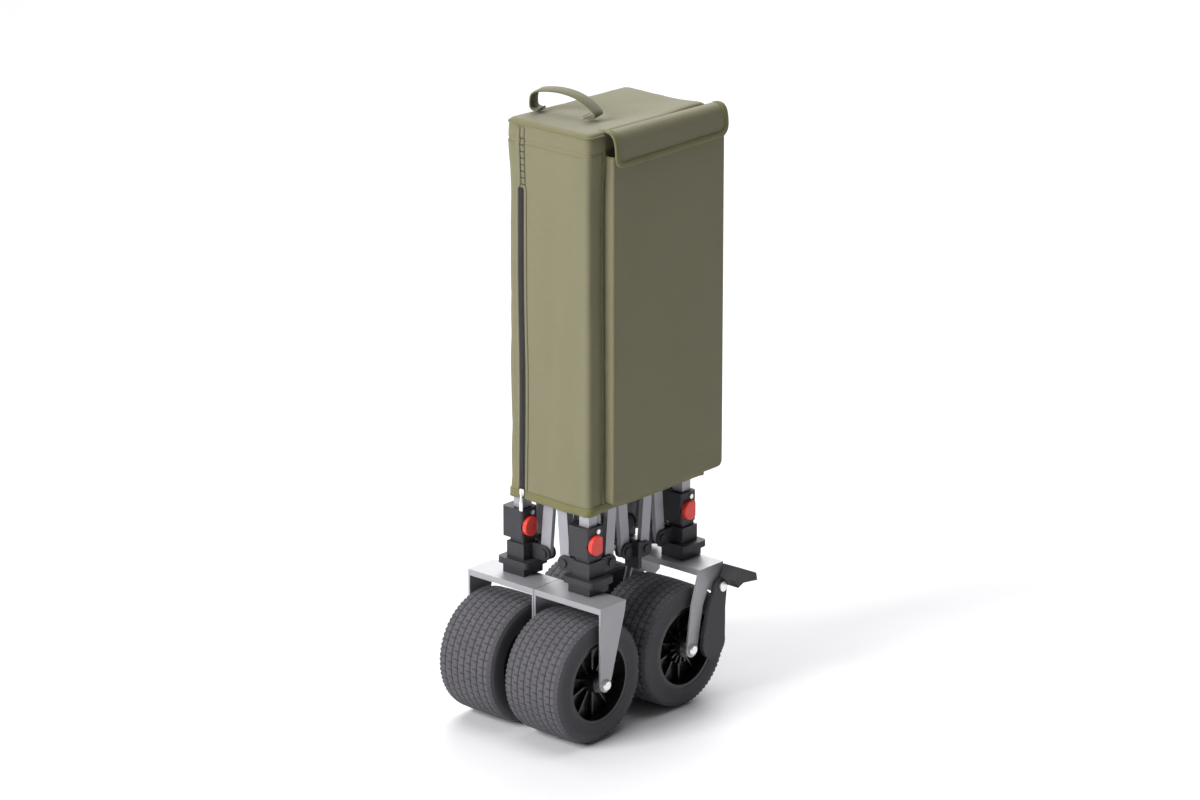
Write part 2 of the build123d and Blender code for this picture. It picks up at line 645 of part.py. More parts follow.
scissor("rear_bar_a", "rear_bar_b", "y", STACK_EDGE_REAR, 1, END_PIVOT_X, -END_PIVOT_X)
a_front = bar_layer(STACK_EDGE_FRONT, -1, 0)
b_front = bar_layer(STACK_EDGE_FRONT, -1, 1)
front_a = bar("y", END_PIVOT_X, -END_PIVOT_X, a_front) + centre_pin("y", 0, a_front, b_front)
front_a += rod_y(0, CENTRE_Z, a_front[1], YOKE_Y[1] + 0.2, PIN_R)
front_a += rod_y(0, CENTRE_Z, YOKE_Y[1] + 0.2, YOKE_Y[1] + 2.2, 7.0)
save("front_bar_a", front_a)
save("front_bar_b", bar("y", -END_PIVOT_X, END_PIVOT_X, b_front))
for side_name, sx in (("right", 1), ("left", -1)):
    rear_y, mid_rear, mid_front, front_y = SIDE_PIVOTS
    edge = sx * STACK_EDGE_X
    scissor(f"{side_name}_bar_a", f"{side_name}_bar_b", "x", edge, -sx, rear_y, mid_rear)
    scissor(f"{side_name}_bar_c", f"{side_name}_bar_d", "x", edge, -sx, mid_front, front_y)
    save(f"{side_name}_mid_lower", *mid_junction(sx, upper=False))
    save(f"{side_name}_mid_upper", *mid_junction(sx, upper=True))

save("tow_yoke", *tow_yoke())
save("tow_bar", *tow_bar())
save("tow_grip", *tow_grip())
save("cover_shell", cover_shell())
save("carry_handle", carry_handle())
save("zip_tape", zip_tape())
save("zip_slider", zip_slider())
save("pocket_flap", pocket_flap())
save("floor_board", floor_board())
save("tub_fabric", tub_fabric())

print(len(made), "sub-parts;", "upper pivots at z", round(TOP_Z, 2))
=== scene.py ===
# %% [markdown]
# # A folding camp wagon, stood upright in its cover
# The wagon is folded to the size of a suitcase and stands on its four wide wheels. Steel and nylon
# parts come from the engineering model as they are. This notebook gives them their finishes, and it
# makes the parts that have to look soft or finely moulded: cover, pocket, flap, webbing, zip and tyres.

# %% Frame
import math

import bmesh
import bpy
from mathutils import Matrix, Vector, noise


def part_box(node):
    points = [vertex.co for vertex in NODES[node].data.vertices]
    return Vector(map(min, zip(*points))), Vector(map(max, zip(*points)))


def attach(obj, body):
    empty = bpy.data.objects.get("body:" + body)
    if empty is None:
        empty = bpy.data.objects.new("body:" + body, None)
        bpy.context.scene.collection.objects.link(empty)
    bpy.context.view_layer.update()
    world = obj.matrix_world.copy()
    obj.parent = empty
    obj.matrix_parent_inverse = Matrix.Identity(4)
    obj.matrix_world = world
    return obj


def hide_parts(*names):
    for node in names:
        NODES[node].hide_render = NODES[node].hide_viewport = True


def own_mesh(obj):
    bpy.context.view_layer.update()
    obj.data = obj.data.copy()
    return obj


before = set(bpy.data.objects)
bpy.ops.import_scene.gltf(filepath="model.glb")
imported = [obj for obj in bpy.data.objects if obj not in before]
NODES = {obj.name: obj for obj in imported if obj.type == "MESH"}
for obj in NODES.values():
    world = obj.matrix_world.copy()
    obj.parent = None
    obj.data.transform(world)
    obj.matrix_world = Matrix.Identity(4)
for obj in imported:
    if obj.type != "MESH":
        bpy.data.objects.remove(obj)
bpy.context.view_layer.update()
MM = 0.001

# %% [markdown]
# ## Camera, floor and light
# The view is from the rear right, a little above, through a long lens, so that upright edges stay
# almost parallel. A broad lamp at the upper left lights the zip side and the top, and leaves the
# pocket side in soft shade, which is what makes the folded box read as a box.

# %% Camera
CAMERA_AT = (4.9535, -5.5787, 2.9374)
CAMERA_TURN = math.radians(41.456)
CAMERA_TILT = math.radians(18.385)
LENS_MM = 167.7

camera_data = bpy.data.cameras.new("camera")
camera_data.lens = LENS_MM
camera_data.sensor_width = 36.0
camera = bpy.data.objects.new("camera", camera_data)
camera.location = CAMERA_AT
camera.rotation_euler = (math.pi / 2 - CAMERA_TILT, 0, CAMERA_TURN)
bpy.context.scene.collection.objects.link(camera)
bpy.context.scene.camera = camera
bpy.context.scene.view_settings.view_transform = "Standard"
print("camera", round(Vector(CAMERA_AT).length, 2), "m away, with a", LENS_MM, "mm lens")

# %% [markdown]
# ## Colours and nodes
# Colours are written as on a paint card, in sRGB hex, and one function turns them into the linear
# numbers that a shader needs. One more function adds a node, so that each material below reads as a
# short list of what it is made of.


# %% Colour and node helpers
def linear(hex_code):
    """sRGB hex to a linear colour, opaque."""
    values = [int(hex_code[i : i + 2], 16) / 255 for i in (1, 3, 5)]
    rgb = [v / 12.92 if v <= 0.04045 else ((v + 0.055) / 1.055) ** 2.4 for v in values]
    return (*rgb, 1.0)


def paler(colour, factor, lift=0.0):
    """A linear colour made paler, or darker for a factor under 1."""
    return (*(min(1.0, factor * c + lift) for c in colour[:3]), 1.0)


def add(tree, kind, inputs=None, **settings):
    """Add a node. Each input is a value, or a (node, output) pair that it is linked from."""
    node = tree.nodes.new(kind)
    for name, value in settings.items():
        setattr(node, name, value)
    for name, value in (inputs or {}).items():
        if isinstance(value, tuple) and isinstance(value[0], bpy.types.Node):
            tree.links.new(value[0].outputs[value[1]], node.inputs[name])
        else:
            node.inputs[name].default_value = value
    return node


def new_material(name):
    """An empty node material with its surface shader, ready to be linked."""
    material = bpy.data.materials.new(name)
    material.use_nodes = True
    return material, material.node_tree, material.node_tree.nodes["Principled BSDF"]


def dress(tree, surface, tint, height, bump_size, numbers):
    """Link a tint and a height to the surface shader, and set the shader's own numbers."""
    tree.links.new(tint.outputs[2], surface.inputs["Base Color"])
    strength, distance = bump_size
    bump = add(tree, "ShaderNodeBump", {"Height": height, "Strength": strength, "Distance": distance})
    tree.links.new(bump.outputs["Normal"], surface.inputs["Normal"])
    for name, value in numbers.items():
        surface.inputs[name].default_value = value


print("a mid grey of #808080 is", round(linear("#808080")[0], 3), "in linear numbers")

# %% Floor and lamps
FLOOR_SIZE = 30.0
WAGON_MIDDLE = (0, 0, 0.45)

floor_mesh = bpy.data.meshes.new("floor")
half = FLOOR_SIZE / 2
corners = [(-half, -half, 0), (half, -half, 0), (half, half, 0), (-half, half, 0)]
floor_mesh.from_pydata(corners, [], [(0, 1, 2, 3)])
floor = bpy.data.objects.new("floor", floor_mesh)
bpy.context.scene.collection.objects.link(floor)
floor_material, tree, surface = new_material("studio_floor_paint")
surface.inputs["Base Color"].default_value = linear("#F2F2F4")
surface.inputs["Roughness"].default_value = 0.7
floor_mesh.materials.append(floor_material)


def lamp(name, place, size, watts):
    """A square soft lamp that looks at the middle of the wagon."""
    data = bpy.data.lights.new(name, "AREA")
    data.size = size
    data.energy = watts
    thing = bpy.data.objects.new(name, data)
    thing.location = place
    aim = Vector(WAGON_MIDDLE) - Vector(place)
    thing.rotation_euler = aim.to_track_quat("-Z", "Y").to_euler()
    bpy.context.scene.collection.objects.link(thing)


# %% Lamps
lamp("key", (-0.9, -4.3, 2.9), 1.9, 248)
lamp("overhead", (-0.6, 0.4, 5.0), 5.0, 178)
lamp("backdrop", (-5.0, 8.5, 6.0), 8.0, 800)
world = bpy.data.worlds.new("studio")
world.use_nodes = True
sky = world.node_tree.nodes["Background"].inputs
sky["Color"].default_value = linear("#F6F7FA")
sky["Strength"].default_value = 0.15
bpy.context.scene.world = world
print("stage:", len(bpy.data.lights), "lamps on a floor", FLOOR_SIZE, "m wide")

# %% [markdown]
# ## Finishes
# Each finish starts from the real material and how its surface was made. Metals and mouldings read
# object coordinates, so their grain has a size in millimetres. Cloth reads a UV map called "cloth",
# which is laid out in metres along the fabric, so that the threads run with the panel.


# %% Metals
def painted_steel(name, colour, roughness):
    """Powder-coated sheet steel: satin, with a faint orange peel and clouding in the coat."""
    material, tree, surface = new_material(name)
    place = add(tree, "ShaderNodeTexCoord")
    cloud = add(tree, "ShaderNodeTexNoise", {"Vector": (place, "Object"), "Scale": 24.0, "Detail": 3.0})
    base = linear(colour)
    tint = add(tree, "ShaderNodeMix", {0: (cloud, "Fac"), 6: base, 7: paler(base, 0.86)}, data_type="RGBA")
    # the peel of a sprayed coat is about 1 mm from crest to crest
    peel = add(tree, "ShaderNodeTexNoise", {"Vector": (place, "Object"), "Scale": 1000.0, "Detail": 1.0})
    dress(tree, surface, tint, (peel, "Fac"), (0.12, 0.0002), {"Metallic": 0.35, "Roughness": roughness})
    return material


def drawn_metal(name, colour, roughness, grain):
    """Drawn or turned metal: fully metallic, with fine lines along the grain vector."""
    material, tree, surface = new_material(name)
    place = add(tree, "ShaderNodeTexCoord")
    stretch = add(tree, "ShaderNodeMapping", {"Vector": (place, "Object"), "Scale": grain})
    lines = add(tree, "ShaderNodeTexNoise", {"Vector": (stretch, "Vector"), "Scale": 1.0, "Detail": 2.0})
    base = linear(colour)
    tint = add(tree, "ShaderNodeMix", {0: (lines, "Fac"), 6: base, 7: paler(base, 1.18)}, data_type="RGBA")
    dress(tree, surface, tint, (lines, "Fac"), (0.08, 0.0002), {"Metallic": 1.0, "Roughness": roughness})
    return material


FORK_PAINT = painted_steel("silver_powder_coat", "#A9A9AD", 0.42)
TUBE_PAINT = painted_steel("silver_tube_paint", "#A9A8AE", 0.38)
BAR_ALLOY = painted_steel("satin_bar_paint", "#A3A2A8", 0.36)
ZINC = drawn_metal("zinc_plated_steel", "#E2E2DF", 0.34, (700, 700, 700))
TOW_ALLOY = drawn_metal("grey_anodised_aluminium", "#8E8E92", 0.36, (900, 900, 20))
print("metals:", len(bpy.data.materials) - 1)


# %% Mouldings
def moulded(name, colour, roughness, grain_mm, depth=0.25):
    """Injection-moulded plastic or rubber: spark-eroded grain of the given size, and faint flow marks."""
    material, tree, surface = new_material(name)
    place = add(tree, "ShaderNodeTexCoord")
    flow = add(tree, "ShaderNodeTexNoise", {"Vector": (place, "Object"), "Scale": 30.0, "Detail": 2.0})
    base = linear(colour)
    scuffed = paler(base, 1.35, 0.003)
    tint = add(tree, "ShaderNodeMix", {0: (flow, "Fac"), 6: base, 7: scuffed}, data_type="RGBA")
    pits = {"Vector": (place, "Object"), "Scale": 1000 / grain_mm, "Detail": 2.0}
    grain = add(tree, "ShaderNodeTexNoise", pits)
    dress(tree, surface, tint, (grain, "Fac"), (depth, 0.0003), {"Roughness": roughness})
    return material


NYLON = moulded("grained_black_nylon", "#29282C", 0.55, 1.2)
GREY_NYLON = moulded("grained_dark_grey_nylon", "#4C4B50", 0.6, 1.2)
RIM_PLASTIC = moulded("polished_black_polypropylene", "#101012", 0.3, 3.0, 0.05)
RED_ABS = moulded("red_abs", "#DE3A2E", 0.38, 2.0, 0.06)
# the lugs are the tyre's own grey rubber, set paler than its dark base as a painted highlight along the
# shoulder
LUG_RUBBER_PAINTED_HIGHLIGHT = moulded("charcoal_lug_rubber_painted_highlight", "#4E4C51", 0.75, 1.0)
GRIP_RUBBER = moulded("soft_grip_rubber", "#232225", 0.8, 1.5, 0.4)
print("finishes so far:", len(bpy.data.materials))


# %% Tyre compound
def tyre_compound(name):
    """Foamed tyre compound: dull charcoal, paler where dust settles on the ribs, with painted shade darkening
    the grooves and cuts.
    """
    material, tree, surface = new_material(name)
    place = add(tree, "ShaderNodeTexCoord")
    cloud = add(tree, "ShaderNodeTexNoise", {"Vector": (place, "Object"), "Scale": 35.0, "Detail": 4.0})
    speck = add(tree, "ShaderNodeTexNoise", {"Vector": (place, "Object"), "Scale": 900.0, "Detail": 2.0})
    # the tread attribute mixes real dust on the ribs with painted shade, set low in the grooves and cuts
    dust_and_groove_shade = add(tree, "ShaderNodeAttribute", attribute_name="tread")
    patchy = add(tree, "ShaderNodeMath", {0: (cloud, "Fac"), 1: 0.5, 2: 0.6}, operation="MULTIPLY_ADD")
    dust_and_shade = add(tree, "ShaderNodeMath", {0: (patchy, "Value"), 1: (dust_and_groove_shade, "Fac")}, operation="MULTIPLY")
    shades = {0: (dust_and_shade, "Value"), 6: linear("#323135"), 7: linear("#5E5C61")}
    tint = add(tree, "ShaderNodeMix", shades, data_type="RGBA")
    dull = {"Roughness": 0.78, "Specular IOR Level": 0.35}
    dress(tree, surface, tint, (speck, "Fac"), (0.35, 0.0004), dull)
    return material


TYRE = tyre_compound("charcoal_tyre_compound")


# %% Cloth
def woven(name, colour, shade, thread_mm, ribs=False, depth=0.5):
    """Woven polyester, from its UV map in metres. Ribs gives webbing, whose weft runs straight across."""
    material, tree, surface = new_material(name)
    place = add(tree, "ShaderNodeTexCoord")
    layout = add(tree, "ShaderNodeUVMap", uv_map="cloth")
    axes = add(tree, "ShaderNodeSeparateXYZ", {0: (layout, "UV")})
    turns = 2 * math.pi / (thread_mm * MM)
    waves = []
    for axis in ("X", "Y"):
        scaled = add(tree, "ShaderNodeMath", {0: (axes, axis), 1: turns}, operation="MULTIPLY")
        waves.append(add(tree, "ShaderNodeMath", {0: (scaled, "Value")}, operation="SINE"))
    if ribs:
        thread = waves[0]
    else:
        pair = {0: (waves[0], "Value"), 1: (waves[1], "Value")}
        thread = add(tree, "ShaderNodeMath", pair, operation="MULTIPLY")
    half_up = {0: (thread, "Value"), 1: 0.5, 2: 0.5}
    weave = add(tree, "ShaderNodeMath", half_up, operation="MULTIPLY_ADD")
    # slubs: threads that run thick for a centimetre or two
    streak = add(tree, "ShaderNodeMapping", {"Vector": (layout, "UV"), "Scale": (60.0, 900.0, 1.0)})
    slub = add(tree, "ShaderNodeTexNoise", {"Vector": (streak, "Vector"), "Scale": 1.0, "Detail": 2.0})
    cloud = add(tree, "ShaderNodeTexNoise", {"Vector": (place, "Object"), "Scale": 9.0, "Detail": 5.0})
    dyes = {0: (cloud, "Fac"), 6: linear(colour), 7: linear(shade)}
    base = add(tree, "ShaderNodeMix", dyes, data_type="RGBA")
    flecks = {0: (slub, "Fac"), 6: (base, 2), 7: paler(linear(colour), 1.12)}
    flecked = add(tree, "ShaderNodeMix", flecks, data_type="RGBA")
    # painted shade: the colour darkens by up to 30 % in the valleys between the threads
    weave_valley_shade = add(tree, "ShaderNodeMath", {0: (weave, "Value"), 1: 0.3, 2: 0.7}, operation="MULTIPLY_ADD")
    tint = add(tree, "ShaderNodeMix", {0: 1.0, 6: (flecked, 2)}, data_type="RGBA", blend_type="MULTIPLY")
    tree.links.new(weave_valley_shade.outputs["Value"], tint.inputs[7])
    height = add(tree, "ShaderNodeMath", {0: (weave, "Value"), 1: (slub, "Fac")}, operation="ADD")
    soft = {"Roughness": 0.78, "Sheen Weight": 0.18, "Sheen Roughness": 0.5, "Specular IOR Level": 0.3}
    dress(tree, surface, tint, (height, "Value"), (depth, 0.0003), soft)
    return material


# the real threads are 0.4 mm apart; they are drawn at 1.4 mm so that the weave shows
CLOTH = woven("olive_coated_polyester", "#827E62", "#777358", 1.4)
BINDING = woven("olive_binding_tape", "#7B794E", "#706E46", 1.2, depth=0.6)
WEBBING = woven("olive_webbing", "#7A775C", "#6E6B50", 1.6, ribs=True, depth=0.8)
ZIP_TAPE = woven("black_zip_tape", "#2E2A2B", "#252223", 1.0, depth=0.5)
THREAD = moulded("olive_polyester_thread", "#77744F", 0.7, 0.8)
ZIP_TEETH = moulded("black_zip_coil", "#1B1A1C", 0.4, 1.0, 0.1)
PULLER = moulded("ivory_cast_puller", "#D9D2BC", 0.4, 1.5, 0.1)
print("finishes:", len(bpy.data.materials))

# %% [markdown]
# ## Parts that come from the engineering model
# A cast base, its rivets and its screw are one node of separate solids. The solids are told apart by
# which faces share corners, so that the nylon stays black while every rivet shines.


# %% Telling solids apart
def solids_of(mesh):
    """Number the separate solids of a mesh whose triangles are loose, by their shared corners."""
    parent = {}

    def find(key):
        while parent[key] != key:
            parent[key] = parent[parent[key]]
            key = parent[key]
        return key

    keys = []
    for v in mesh.vertices:
        key = tuple(round(c * 1e6) for c in v.co)
        parent.setdefault(key, key)
        keys.append(key)
    for polygon in mesh.polygons:
        first = find(keys[polygon.vertices[0]])
        for other in polygon.vertices[1:]:
            parent[find(keys[other])] = first
    groups = {}
    for polygon in mesh.polygons:
        groups.setdefault(find(keys[polygon.vertices[0]]), []).append(polygon.index)
    return list(groups.values())


def size_of(mesh, faces):
    """The size of the box round some faces, in metres."""
    points = [mesh.vertices[v].co for f in faces for v in mesh.polygons[f].vertices]
    return [max(p[i] for p in points) - min(p[i] for p in points) for i in range(3)]


# %% Finishes for the steel and the nylon
def finish_node(node, main, small=None, rule=None):
    """Give a node its material; solids that the rule picks get the small-part material."""
    mesh = NODES[node].data
    mesh.materials.clear()
    mesh.materials.append(main)
    if small is None:
        return
    mesh.materials.append(small)
    for faces in solids_of(mesh):
        picked = int(rule(size_of(mesh, faces)))
        for f in faces:
            mesh.polygons[f].material_index = picked


def is_rivet(size):
    """Rivets, pins and screws are all under 30 mm in every direction."""
    return max(size) < 30 * MM


def is_pivot_pin(size):
    """The pins of the mid junctions are long and thin, and lie across the wagon."""
    return size[1] < 14 * MM and size[2] < 14 * MM


CORNERS = ("rear_right", "rear_left", "front_right", "front_left")
for corner in CORNERS:
    finish_node(f"{corner}_base", NYLON, ZINC, is_rivet)
    finish_node(f"{corner}_lower_tube", TUBE_PAINT)
    finish_node(f"{corner}_fork", FORK_PAINT)
    finish_node(f"{corner}_axle", ZINC)
    finish_node(f"{corner}_lock_button", RED_ABS)
    finish_node(f"{corner}_rim", RIM_PLASTIC)
    finish_node(f"{corner}_upper_post", NYLON, TUBE_PAINT, lambda size: size[2] > 100 * MM)
    if corner.startswith("front"):
        finish_node(f"{corner}_brake_lever", NYLON)
for end in ("rear", "front"):
    finish_node(f"{end}_bar_a", BAR_ALLOY, ZINC, is_rivet)
    finish_node(f"{end}_bar_b", BAR_ALLOY)
for side in ("right", "left"):
    for letter in "abcd":
        finish_node(f"{side}_bar_{letter}", BAR_ALLOY, ZINC, is_rivet)
    for level in ("lower", "upper"):
        finish_node(f"{side}_mid_{level}", NYLON, ZINC, is_pivot_pin)
finish_node("tow_yoke", GREY_NYLON, ZINC, is_rivet)
finish_node("tow_bar", GREY_NYLON, TOW_ALLOY, lambda size: size[2] > 280 * MM)
finish_node("tow_grip", TOW_ALLOY, GRIP_RUBBER, lambda size: size[0] > 60 * MM)
print("finished nodes:", sum(len(thing.data.materials) > 0 for thing in NODES.values()))

# %% [markdown]
# ## Tools for making pieces
# Most soft and moulded parts here are grids: rows of points that follow a section, joined into
# quads. A grid carries its own "cloth" layout in metres, so that woven finishes run along it. What
# repeats along a seam or round a tyre, such as stitches, zip teeth and tread lugs, is one small
# block copied along a path by Geometry Nodes. One tree serves them all, and only its inputs change.


# %% Grid pieces
def grid_mesh(name, points, wrap=False, layout=None, flip=False):
    """A mesh from rows of points in mm. Wrap joins each row's end to its start."""
    rows, columns = len(points), len(points[0])
    verts = [tuple(c * MM for c in p) for row in points for p in row]
    faces = []
    corners_at = []
    for i in range(rows - 1):
        for j in range(columns if wrap else columns - 1):
            k = (j + 1) % columns
            face = [(i, j, j), (i, k, j + 1), (i + 1, k, j + 1), (i + 1, j, j)]
            if flip:
                face.reverse()
            faces.append([r * columns + c for r, c, _ in face])
            corners_at.append([(r, turn) for r, _, turn in face])
    mesh = bpy.data.meshes.new(name)
    mesh.from_pydata(verts, [], faces)
    if layout:
        uv = mesh.uv_layers.new(name="cloth")
        spots = [layout(r, turn) for corners in corners_at for r, turn in corners]
        uv.data.foreach_set("uv", [v * MM for spot in spots for v in spot])
    mesh.polygons.foreach_set("use_smooth", [True] * len(mesh.polygons))
    return mesh


def tidy_shell(mesh, ring=0):
    """Close both ends of a tube of rings, merge doubled points and turn every face outwards."""
    work = bmesh.new()
    work.from_mesh(mesh)
    if ring:
        work.verts.ensure_lookup_table()
        for end in (work.verts[:ring], work.verts[-ring:]):
            work.faces.new(end)
    bmesh.ops.remove_doubles(work, verts=work.verts, dist=1e-6)
    bmesh.ops.recalc_face_normals(work, faces=work.faces)
    work.to_mesh(mesh)
    work.free()
    mesh.polygons.foreach_set("use_smooth", [True] * len(mesh.polygons))


# %% Pieces of a mesh
def put(mesh, body, slot_name, *materials):
    """Make an object of a mesh, with its materials, riding on a body."""
    mesh.materials.clear()
    for material in materials:
        mesh.materials.append(material)
    thing = bpy.data.objects.new(mesh.name, mesh)
    bpy.context.scene.collection.objects.link(thing)
    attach(thing, body)
    return thing


def baked(thing):
    """Apply a piece's modifiers to its mesh."""
    bpy.context.view_layer.update()
    graph = bpy.context.evaluated_depsgraph_get()
    made = bpy.data.meshes.new_from_object(thing.evaluated_get(graph), depsgraph=graph)
    thing.modifiers.clear()
    thing.data = made
    return thing


def thicken(thing, mm):
    """Give a sheet its thickness, behind the face that shows."""
    wall = thing.modifiers.new("wall", "SOLIDIFY")
    wall.thickness = mm * MM
    wall.offset = -1
    wall.use_even_offset = True
    return baked(thing)


def spread(first, last, steps):
    """Numbers evenly spaced from first to last."""
    return [first + (last - first) * i / steps for i in range(steps + 1)]


# %% One Geometry Nodes tree for what repeats along a path
def repeat_tree():
    """Blocks of one size along the edges of a mesh, a fixed distance apart."""
    tree = bpy.data.node_groups.new("repeat_along_path", "GeometryNodeTree")
    for label, kind in (
        ("Path", "NodeSocketGeometry"),
        ("Spacing", "NodeSocketFloat"),
        ("Block size", "NodeSocketVector"),
        ("Finish", "NodeSocketMaterial"),
    ):
        tree.interface.new_socket(name=label, in_out="INPUT", socket_type=kind)
    tree.interface.new_socket(name="Blocks", in_out="OUTPUT", socket_type="NodeSocketGeometry")
    given = add(tree, "NodeGroupInput")
    curve = add(tree, "GeometryNodeMeshToCurve", {"Mesh": (given, "Path")})
    spots = add(tree, "GeometryNodeCurveToPoints", {"Curve": (curve, "Curve")}, mode="LENGTH")
    tree.links.new(given.outputs["Spacing"], spots.inputs["Length"])
    block = add(tree, "GeometryNodeMeshCube", {"Size": (given, "Block size")})
    copies = add(
        tree,
        "GeometryNodeInstanceOnPoints",
        {"Points": (spots, "Points"), "Instance": (block, "Mesh"), "Rotation": (spots, "Rotation")},
    )
    solid = add(tree, "GeometryNodeRealizeInstances", {"Geometry": (copies, "Instances")})
    finish = {"Geometry": (solid, "Geometry"), "Material": (given, "Finish")}
    painted = add(tree, "GeometryNodeSetMaterial", finish)
    done = add(tree, "NodeGroupOutput")
    tree.links.new(painted.outputs["Geometry"], done.inputs["Blocks"])
    return tree


REPEAT = repeat_tree()
print("one tree for repeats:", REPEAT.name)


# %% Copies along a path
def repeat_along(name, paths, spacing, block, material, body):
    """Copy a block (across, proud, along, in mm) along each path of points in mm."""
    verts, edges = [], []
    for path in paths:
        start = len(verts)
        verts += [tuple(c * MM for c in p) for p in path]
        edges += [(start + i, start + i + 1) for i in range(len(path) - 1)]
    mesh = bpy.data.meshes.new(name)
    mesh.from_pydata(verts, edges, [])
    thing = bpy.data.objects.new(name, mesh)
    bpy.context.scene.collection.objects.link(thing)
    settings = {"Spacing": spacing * MM, "Block size": [v * MM for v in block], "Finish": material}
    modifier = thing.modifiers.new("repeat", "NODES")
    modifier.node_group = REPEAT
    for item in REPEAT.interface.items_tree:
        if item.in_out == "INPUT" and item.name in settings:
            modifier[item.identifier] = settings[item.name]
    baked(thing)
    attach(thing, body)
    print(name, "-", len(thing.data.polygons) // 6, "blocks")
    return thing


# %% Runs of points
def polyline_length(points):
    """The length of a run of points."""
    return sum(math.dist(a, b) for a, b in zip(points, points[1:]))


def rounded(points, radius, steps=4):
    """Round the inner corners of a polyline in any number of dimensions, with short arcs."""
    out = [points[0]]
    for before, at, after in zip(points, points[1:], points[2:]):
        a, p, b = Vector(before), Vector(at), Vector(after)
        reach = min(radius, 0.45 * (a - p).length, 0.45 * (b - p).length)
        start = p + (a - p).normalized() * reach
        end = p + (b - p).normalized() * reach
        for i in range(steps + 1):
            t = i / steps
            out.append(tuple((1 - t) ** 2 * start + 2 * t * (1 - t) * p + t * t * end))
    out.append(points[-1])
    return out


def resampled(points, step):
    """Points a fixed step apart along a polyline."""
    total = polyline_length(points)
    count = max(1, round(total / step))
    out = [tuple(points[0])]
    walked, target, at = 0.0, total / count, 0
    position = Vector(points[0])
    while len(out) < count and at < len(points) - 1:
        ahead = Vector(points[at + 1]) - position
        if walked + ahead.length >= target - 1e-9:
            position = position + ahead.normalized() * (target - walked)
            out.append(tuple(position))
            walked = 0.0
        else:
            walked += ahead.length
            position = Vector(points[at + 1])
            at += 1
    out.append(tuple(points[-1]))
    return out


square = [(0, 0), (100, 0), (100, 100)]
print("a rounded corner is shorter:", round(polyline_length(rounded(square, 20)), 1), "of 200 mm")

# %% [markdown]
# ## Tyres
# The tyres are foamed rubber, moulded in one piece: a wide flat crown with round grooves, fine cuts
# across each rib so that it grips, a row of small lugs on both shoulders, and smooth walls. The
# section is turned round the axle as a grid, and the cuts are pressed into its points, which keeps
# one clean closed ring. The lugs repeat, so Geometry Nodes place them.

# %% Tread sizes
TYRE_R = 90.0
TYRE_HALF = 51.0
SHOULDER = 10.0
CROWN_DROP = 1.2
RIB_MM = 12
BEAD_R = 60.6
SEAT_R = 58.0
LIP = 4.0
GROOVES = [RIB_MM * i for i in range(-3, 4)]
GROOVE_DEPTH = 1.2
GROOVE_HALF = 1.0
CUTS = 48            # one cut across each rib every 12 mm
CUT_DEPTH = 1.2
STEPS_PER_CUT = 6
LUG = (4.2, 1.6, 4.4)
LUG_SPACING = 7.4
LUG_R = 86.1
LUG_AT = 46.6


# %% Tyre section
def crown_radius(x):
    """The tread's radius across its width: nearly flat, then a round shoulder."""
    flat = TYRE_HALF - SHOULDER
    if abs(x) <= flat:
        return TYRE_R - CROWN_DROP * (abs(x) / flat) ** 2
    t = (abs(x) - flat) / SHOULDER
    return TYRE_R - CROWN_DROP - SHOULDER * (1 - math.sqrt(max(0.0, 1 - t * t)))


def tyre_section():
    """(x, radius, paleness) round the tyre. Ribs are 1, the wall is duller, and grooves are darkened as
    painted shade.
    """
    wall = 0.45
    section = [(-TYRE_HALF, BEAD_R, 0.9), (-TYRE_HALF, 62.5, wall), (-TYRE_HALF, 72.0, wall)]
    across = [-51, -50.6, -49, -46.5, -43.5, -41]
    for g in GROOVES:
        across += [g - GROOVE_HALF - 0.6, g - 0.5 * GROOVE_HALF, g, g + 0.5 * GROOVE_HALF]
        across += [g + GROOVE_HALF + 0.6, g + 6]
    across = [x for x in across if x < 41] + [41, 43.5, 46.5, 49, 50.6, 51]
    for x in across:
        near = min(abs(x - g) for g in GROOVES)
        depth = GROOVE_DEPTH if near < GROOVE_HALF else 0.0
        # 0.05 in a groove is painted shade down in the recess; the ribs are paler with dust
        pale = 0.05 if depth else (1 if abs(x) <= 42 else 0.6)
        section.append((x, crown_radius(x) - depth, pale))
    section += [(TYRE_HALF, 72.0, wall), (TYRE_HALF, 62.5, wall), (TYRE_HALF, BEAD_R, 0.9)]
    section += [(TYRE_HALF - LIP, BEAD_R, 0), (TYRE_HALF - LIP, SEAT_R, 0)]
    section += [(-TYRE_HALF + LIP, SEAT_R, 0), (-TYRE_HALF + LIP, BEAD_R, 0)]
    return section


print("tyre section:", len(tyre_section()), "points, turned in", CUTS * STEPS_PER_CUT, "steps")

# %% Tyres on their wheels
def make_tyre(corner, centre):
    """Turn the section round the axle, with every cut pressed in."""
    section = tyre_section()
    turns = CUTS * STEPS_PER_CUT
    rows, shade = [], []
    for x, radius, kind in section:
        rib = math.floor(x / RIB_MM + 3.5)
        row = []
        for step in range(turns):
            cut = kind == 1 and (step + 3 * (rib % 2)) % STEPS_PER_CUT == 0
            r = radius - (CUT_DEPTH if cut else 0.0)
            angle = 2 * math.pi * step / turns
            row.append((centre[0] + x, centre[1] + r * math.cos(angle), centre[2] + r * math.sin(angle)))
            # a cut is set to 0.12: painted shade down in the cut
            shade.append(0.12 if cut else kind)
        rows.append(row)
    rows.append(rows[0])
    shade += shade[:turns]
    mesh = grid_mesh(f"{corner}_tyre_rubber", rows, wrap=True, layout=lambda r, t: (t * 1.96, r * 2.0))
    mesh.attributes.new("tread", "FLOAT", "POINT").data.foreach_set("value", shade)
    tidy_shell(mesh)
    tyre = put(mesh, f"{corner}_wheel", "tyre", TYRE)
    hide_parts(f"{corner}_tyre")


def lug_path(centre, x):
    """A circle of points round the shoulder."""
    turn = spread(0, 2 * math.pi, 96)
    return [(centre[0] + x, centre[1] + LUG_R * math.cos(a), centre[2] + LUG_R * math.sin(a)) for a in turn]


